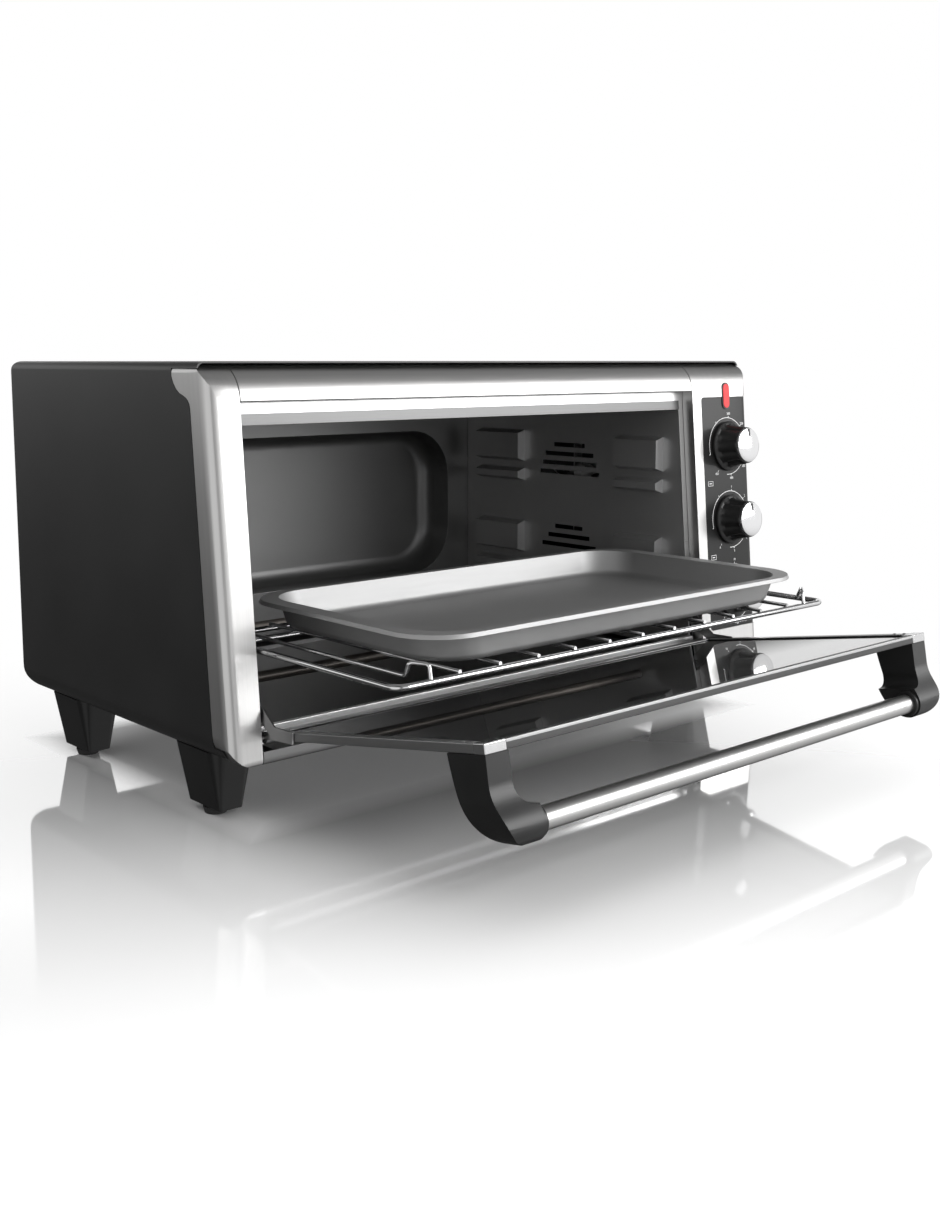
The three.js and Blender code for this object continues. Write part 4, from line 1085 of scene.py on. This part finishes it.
def makeBracket(edge, inward):
    # a side outline crossed with a front outline
    foot, low, r = leftHigh.y, leftHigh.z, handle["hub"]
    y, z = barAt.y, barAt.z
    k = 0.5523 * r
    side = outlineSlab(
        [
            ((foot, low), (doorEnd, low), (foot - 2 * mm, low - 14 * mm)),
            ((foot - 11 * mm, z + 3 * mm), (foot - 5 * mm, z + 13 * mm), (foot - 16 * mm, z - 5 * mm)),
            ((y, z - r), (y + 8 * mm, z - r), (y - k, z - r)),
            ((y - r, z), (y - r, z - k), (y - r, z + 9 * mm)),
            ((doorEnd, z + 26 * mm), (doorEnd, z + 14 * mm), (doorEnd, z + 30 * mm)),
            ((doorEnd, low), (doorEnd, low - 4 * mm), (foot, low)),
        ],
        0.08,
    )
    side.data.transform(Matrix(((0, 0, 1, edge), (1, 0, 0, 0), (0, 1, 0, 0), (0, 0, 0, 1))))
    reach, inner, above = edge + inward * handle["reach"], edge + inward * handle["width"], low + 1 * mm
    front = outlineSlab(
        [
            ((edge, above), (inner, above), (edge, z + 30 * mm)),
            ((edge, z + 18 * mm), (edge, z + 22 * mm), (edge, z - 1 * mm)),
            tuple((edge + inward * out * mm, z - r) for out in (22, 9, 25)),
            ((reach, z - r), (reach - inward * 3 * mm, z - r), (reach, z)),
            ((reach, z + r), (reach, z), (reach - inward * 7 * mm, z + r)),
            ((inner, z + r + 12 * mm), (inner, z + r + 4 * mm), (inner, z + r + 14 * mm)),
            ((inner, above), (inner, above - 3 * mm), (edge, above)),
        ],
        0.09,
    )
    front.data.transform(Matrix(((1, 0, 0, 0), (0, 0, 1, y + 0.02), (0, 1, 0, 0), (0, 0, 0, 1))))
    for slab in (side, front):
        edit(slab)
        bpy.ops.mesh.select_all(action="SELECT")
        bpy.ops.mesh.normals_make_consistent(inside=False)
        leave()
    only(side)
    crossing = side.modifiers.new("crossing", "BOOLEAN")
    crossing.operation, crossing.solver, crossing.object = "INTERSECT", "EXACT", front
    bpy.ops.object.modifier_apply(modifier="crossing")
    bpy.data.objects.remove(front)
    soften(side, handle["round"], 3, 55, 35)
    return side


def makeCollar(x0, x1):
    bpy.ops.object.select_all(action="DESELECT")
    bpy.ops.mesh.primitive_cylinder_add(
        vertices=48,
        radius=handle["collar"],
        depth=x1 - x0,
        location=((x0 + x1) / 2, barAt.y, barAt.z),
        rotation=(0, math.pi / 2, 0),
    )
    collar = bpy.context.active_object
    only(collar)
    bpy.ops.object.transform_apply(location=True, rotation=True, scale=True)
    edit(collar)
    pick("faces", lambda face: abs(face.normal.x) > 0.9)
    bpy.ops.mesh.inset(thickness=1.2 * mm)
    leave()
    soften(collar, 0.7 * mm, 3, 50, 40)
    return collar


def makeBar():
    bpy.ops.object.select_all(action="DESELECT")
    bpy.ops.mesh.primitive_cylinder_add(
        vertices=72,
        radius=handle["radius"],
        depth=barHigh.x - barLow.x,
        location=((barLow.x + barHigh.x) / 2, barAt.y, barAt.z),
        rotation=(0, math.pi / 2, 0),
    )
    bar = bpy.context.active_object
    only(bar)
    bpy.ops.object.transform_apply(location=True, rotation=True, scale=True)
    edit(bar)
    pick("faces", lambda face: abs(face.normal.x) > 0.9)
    bpy.ops.mesh.inset(thickness=1.2 * mm, use_individual=True)
    bpy.ops.mesh.extrude_faces_move(TRANSFORM_OT_shrink_fatten={"value": -6 * mm})
    leave()
    soften(bar, 0.3 * mm, 2, 50, 30)
    return bar


for side, edge, inward, node in (
    ("left", leftLow.x, 1, "handle_bracket_left"),
    ("right", rightHigh.x, -1, "handle_bracket_right"),
):
    bracket = makeBracket(edge, inward)
    start, end = edge + inward * (handle["reach"] - 1.5 * mm), edge + inward * (handle["reach"] + 3 * mm)
    collar = makeCollar(min(start, end), max(start, end))
    settle(join([bracket, collar]), side + "_handle_bracket", "plastic", "door", doorPlace, [node])
settle(makeBar(), "handle_tube", "across", "door", doorPlace, ["handle_bar"])
print("handle made")

# bright corner caps and rivets on the door
topLow, topHigh = localBox("door_top_rail", doorPlace)
cap = {"wide": 15.5 * mm, "long": 9 * mm, "proud": 0.35 * mm}
for side, x in (("left", topLow.x), ("right", topHigh.x)):
    inward = 1 if side == "left" else -1
    lowX, highX = sorted((x - inward * cap["proud"], x + inward * cap["wide"]))
    low = Vector((lowX, topLow.y - cap["proud"], topLow.z - 0.15 * mm))
    high = Vector((highX, topLow.y + cap["long"], topHigh.z + cap["proud"]))
    corner = block(low, high)
    edit(corner)
    pick("faces", lambda face: face.normal.z > 0.9)
    bpy.ops.mesh.inset(thickness=1.0 * mm)
    bpy.ops.transform.translate(value=(0, 0, 0.15 * mm))
    leave()
    soften(corner, 0.5 * mm, 3)
    settle(corner, "door_corner_cap_" + side, "rackChrome", "door", doorPlace)

rivets = []
for x in (topLow.x + 3.6 * mm, topHigh.x - 3.6 * mm):
    for back in (14, 22):
        bpy.ops.object.select_all(action="DESELECT")
        bpy.ops.mesh.primitive_uv_sphere_add(
            segments=16,
            ring_count=8,
            radius=1.5 * mm,
            location=(x, topLow.y + back * mm, topHigh.z - 0.1 * mm),
        )
        rivet = bpy.context.active_object
        rivet.scale = (1, 1, 0.55)
        only(rivet)
        bpy.ops.object.transform_apply(location=True, rotation=True, scale=True)
        edit(rivet, "VERT")
        pick("verts", lambda vertex: vertex.co.z < topHigh.z - 0.15 * mm)
        bpy.ops.mesh.delete(type="VERT")
        leave()
        bpy.ops.object.shade_smooth()
        rivets.append(rivet)
settle(join(rivets), "door_rail_rivets", "zinc", "door", doorPlace)
print("door trims made")

# thin strips: bright edge on the door, a black strip as painted shadow in the seam under the header, and a
# grey lip under the header
def strip(name, look, body, place, low, high):
    piece = block(low, high)
    soften(piece, 0.1 * mm, 2)
    return settle(piece, name, look, body, place)


edgeIn = cap["wide"] + 0.2 * mm
strip(
    "door_edge_strip",
    "railAcross",
    "door",
    doorPlace,
    Vector((topLow.x + edgeIn, topLow.y - 0.2 * mm, topHigh.z - 1.6 * mm)),
    Vector((topHigh.x - edgeIn, topLow.y + 0.5 * mm, topHigh.z + 0.15 * mm)),
)
headerLow, headerHigh = localBox("header_trim", frontPlace)
frameLow = localBox("front_frame", frontPlace)[0]
mouth = {"seam": 0.35 * mm, "lip": 7.5 * mm, "top": 264 * mm, "proud": 0.3 * mm}
mouthTop = (mouth["top"] - frontMid) / math.cos(lean)
wallLeft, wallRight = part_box("cavity_ceiling")[0].x + 1 * mm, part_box("cavity_ceiling")[1].x - 1 * mm
# a black strip along the header's lower edge: painted shadow of the narrow seam
strip(
    "header_seam",
    "plastic",
    "oven",
    frontPlace,
    Vector((headerLow.x, headerLow.y - 0.08 * mm, headerLow.z - mouth["seam"])),
    Vector((headerHigh.x, headerLow.y + 1 * mm, headerLow.z + 0.65 * mm)),
)
strip(
    "lintel_lip",
    "lip",
    "oven",
    frontPlace,
    Vector((wallLeft, frameLow.y - mouth["proud"], mouthTop)),
    Vector((wallRight, frameLow.y + 0.2 * mm, mouthTop + mouth["lip"])),
)
print("strips made")

# black surround of the indicator lens
lensLow, lensHigh = localBox("indicator_lens", frontPlace)
surround = {"wide": 1.1 * mm, "front": 0.45 * mm, "back": 2.6 * mm, "round": 0.46}
wide = surround["wide"]
aroundLow = Vector((lensLow.x - wide, lensLow.y + surround["front"], lensLow.z - wide))
aroundHigh = Vector((lensHigh.x + wide, lensLow.y + surround["back"], lensHigh.z + wide))
lensRing = block(aroundLow, aroundHigh)
edit(lensRing, "EDGE")
pick("edges", lambda edge: abs(edge.verts[0].co.y - edge.verts[1].co.y) > 1 * mm)
bpy.ops.mesh.bevel(offset=(aroundHigh.x - aroundLow.x) * surround["round"], segments=8, affect="EDGES")
leave()
soften(lensRing, 0.15 * mm, 2)
settle(lensRing, "lens_surround", "plastic", "oven", frontPlace)
print("lens surround made")

# door springs: coils with a short straight leg at each end
spring = {"radius": 2.7 * mm, "wire": 0.55 * mm, "turns": 15}
for side in ("left", "right"):
    low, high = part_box("door_spring_" + side)
    x = (low.x + high.x) / 2
    lower = Vector((x, low.y + 3.2 * mm, high.z - 3.2 * mm))
    upper = Vector((x, high.y - 3.2 * mm, low.z + 3.2 * mm))
    along = (upper - lower).normalized()
    length = (upper - lower).length
    steps = spring["turns"] * 10
    aside = Vector((1, 0, 0))
    over = along.cross(aside)
    path = []
    for i in range(steps + 1):
        angle = i / steps * spring["turns"] * 2 * math.pi
        out = aside * math.cos(angle) + over * math.sin(angle)
        path.append(lower + along * (0.12 + 0.76 * i / steps) * length + out * spring["radius"])
    path = [lower, lower + along * length * 0.09] + path + [upper - along * length * 0.09, upper]
    coil = bentWire(path, spring["wire"], 0.0001 * mm, 1)
    settle(coil, "door_spring_coil_" + side, "zinc", "oven", None, ["door_spring_" + side])
print("springs made")
